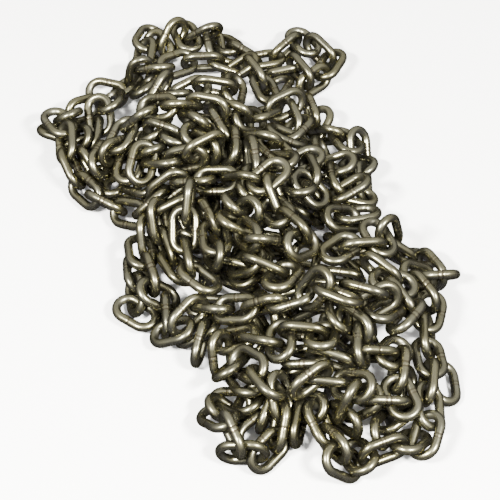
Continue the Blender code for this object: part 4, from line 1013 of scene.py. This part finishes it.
def steel_material():
    """Drawn steel wire: smooth, warm olive grey, faintly streaked along its length."""
    material = bpy.data.materials.new("chain_steel_drawn")
    material.use_nodes = True
    shader = Shader(material.node_tree)
    metal = material.node_tree.nodes["Principled BSDF"]
    metal.inputs["Metallic"].default_value = 0.98
    metal.inputs["Specular Tint"].default_value = EDGE_TINT
    place = shader.add("ShaderNodeTexCoord").outputs["Object"]
    marks = shader.add("ShaderNodeAttribute", attribute_name="marks")
    parts = shader.add("ShaderNodeSeparateColor", {0: marks.outputs["Color"]})
    bearing, weld, groove = (parts.outputs[k] for k in range(3))
    own = marks.outputs["Alpha"]
    wire = shader.add("ShaderNodeAttribute", attribute_name="drawn").outputs["Vector"]

    broad = shader.noise(place, 20.0, 3.0, 0.55)
    stain = shader.noise(place, 120.0, 5.0, 0.62)
    streak = shader.noise(wire, 3.2, 4.0, 0.65)
    scuff = shader.noise(place, 620.0, 3.0, 0.7)

    warm = shader.span(broad, 0.38, 0.62)
    colour = shader.mix(warm, STEEL_GREY, STEEL_WARM)
    olive = shader.span(stain, 0.48, 0.70, 0.0, 0.55)
    colour = shader.mix(olive, colour, OLIVE)
    shade = shader.span(own, 0.0, 1.0, 0.80, 1.12)
    line = shader.span(streak, 0.30, 0.70, 0.86, 1.12)
    shade = shader.times(shade, line)
    colour = shader.mix(1.0, colour, shade, "MULTIPLY")
    spots = shader.span(scuff, 0.62, 0.72, 0.0, 0.2)
    spots = shader.times(spots, shader.span(stain, 0.45, 0.60))
    colour = shader.mix(spots, colour, SPOT)
    for mark, share, tint in ((bearing, 0.6, WORN), (weld, 0.45, WELD), (groove, 0.9, GROOVE)):
        colour = shader.mix(shader.times(mark, share), colour, tint)
    shader.feed(metal.inputs["Base Color"], colour)

    gloss = shader.span(stain, 0.35, 0.65, 0.235, 0.275)
    gloss = shader.plus(gloss, shader.span(streak, 0.3, 0.7, -0.02, 0.04))
    gloss = shader.plus(gloss, shader.times(bearing, 0.14))
    shader.feed(metal.inputs["Roughness"], gloss)

    height = shader.plus(streak, shader.times(scuff, 0.35))
    bump = shader.add("ShaderNodeBump", {"Height": height, "Strength": 0.05, "Distance": 0.0005})
    shader.feed(metal.inputs["Normal"], bump.outputs["Normal"])
    return material


FLOOR_COLOUR = (0.87, 0.885, 0.99, 1.0)
SKY_LOW = (0.25, 0.245, 0.32, 1.0)
SKY_HIGH = (1.80, 1.76, 1.56, 1.0)
# The lamps: name, degrees round from the camera's side, and power
LAMPS = (("softbox_left", -40.0, 310.0), ("softbox_right", 40.0, 285.0))
LAMP_ELEVATION = math.radians(50.0)
LAMP_DISTANCE = 2.2
LAMP_SIZE = (0.45, 0.16)
LAMP_COLOUR = (1.0, 0.97, 0.82)
# Laid links make way for each other outward, so the view is a little wider than the photograph's
VIEW_SHARE = 0.975
SENSOR = 36.0


def add_floor():
    reach = 4.0
    mesh = bpy.data.meshes.new("floor")
    mesh.from_pydata([(-reach, -reach, 0), (reach, -reach, 0), (reach, reach, 0), (-reach, reach, 0)], [],
                     [(0, 1, 2, 3)])
    floor = add_object("floor", mesh)
    white = bpy.data.materials.new("floor_white")
    white.use_nodes = True
    shader = white.node_tree.nodes["Principled BSDF"]
    shader.inputs["Base Color"].default_value = FLOOR_COLOUR
    shader.inputs["Roughness"].default_value = 0.8
    mesh.materials.append(white)
    # The steel mirrors the dim studio, not the white ground
    floor.visible_glossy = False


def add_softbox(name, azimuth, power):
    """A lamp that faces the heap, this many degrees round from the camera's side."""
    turn, rise = math.radians(azimuth), LAMP_ELEVATION
    light = bpy.data.lights.new(name, "AREA")
    light.shape = "RECTANGLE"
    light.size, light.size_y = LAMP_SIZE
    light.energy = power
    light.color = LAMP_COLOUR
    obj = add_object(name, light)
    obj.location = (LAMP_DISTANCE * math.sin(turn) * math.cos(rise),
                    -LAMP_DISTANCE * math.cos(turn) * math.cos(rise),
                    LAMP_DISTANCE * math.sin(rise))
    obj.rotation_euler = (math.pi / 2 - rise, 0.0, turn)


def add_lights():
    world = bpy.data.worlds.new("studio")
    bpy.context.scene.world = world
    world.use_nodes = True
    shader = Shader(world.node_tree)
    way = shader.add("ShaderNodeTexCoord").outputs["Generated"]
    up = shader.add("ShaderNodeSeparateXYZ", {0: way}).outputs["Z"]
    share = shader.span(up, 0.05, 0.55)
    backdrop = world.node_tree.nodes["Background"]
    shader.feed(backdrop.inputs["Color"], shader.mix(share, SKY_LOW, SKY_HIGH))
    backdrop.inputs["Strength"].default_value = 1.0
    for name, azimuth, power in LAMPS:
        add_softbox(name, azimuth, power)


def add_camera(middle):
    camera = bpy.data.cameras.new("camera")
    camera.sensor_width = SENSOR
    camera.lens = VIEW_SHARE * FOCAL / PICTURE * SENSOR
    camera.clip_start = 0.05
    camera.clip_end = 50.0
    obj = add_object("camera", camera)
    obj.location = tuple((EYE - middle) * METRE)
    obj.rotation_euler = (math.pi / 2 - ELEVATION, 0.0, 0.0)
    bpy.context.scene.camera = obj


def main():
    heap = lay_heap()
    lower = fill_heap(heap)
    middle = box_middle(heap.points(centreline(16, 6)).reshape(-1, 3))
    nodes_of = {}
    for k, length in enumerate(heap.length_of_run):
        nodes_of.setdefault(length, []).append(f"chain_run_{k + 1:02d}")
    rng = np.random.default_rng(LOOK_SEED)
    steel = steel_material()
    shapes = [LinkShape(weld) for weld in WELDS]
    for length in range(len(LENGTHS)):
        members = range(heap.starts[length], heap.starts[length + 1])
        links = [(heap.c[i] - middle, heap.axis[i], heap.across[i], heap.normal[i]) for i in members]
        dress(f"chain_length_{length + 1:02d}", links, shapes, rng, steel, nodes_of[length])
    links = [(c - middle, axis, across, normal) for one in lower for c, axis, across, normal in one]
    dress("chain_lower_links", links, shapes, rng, steel, ["core"])
    add_floor()
    add_lights()
    add_camera(middle)


main()
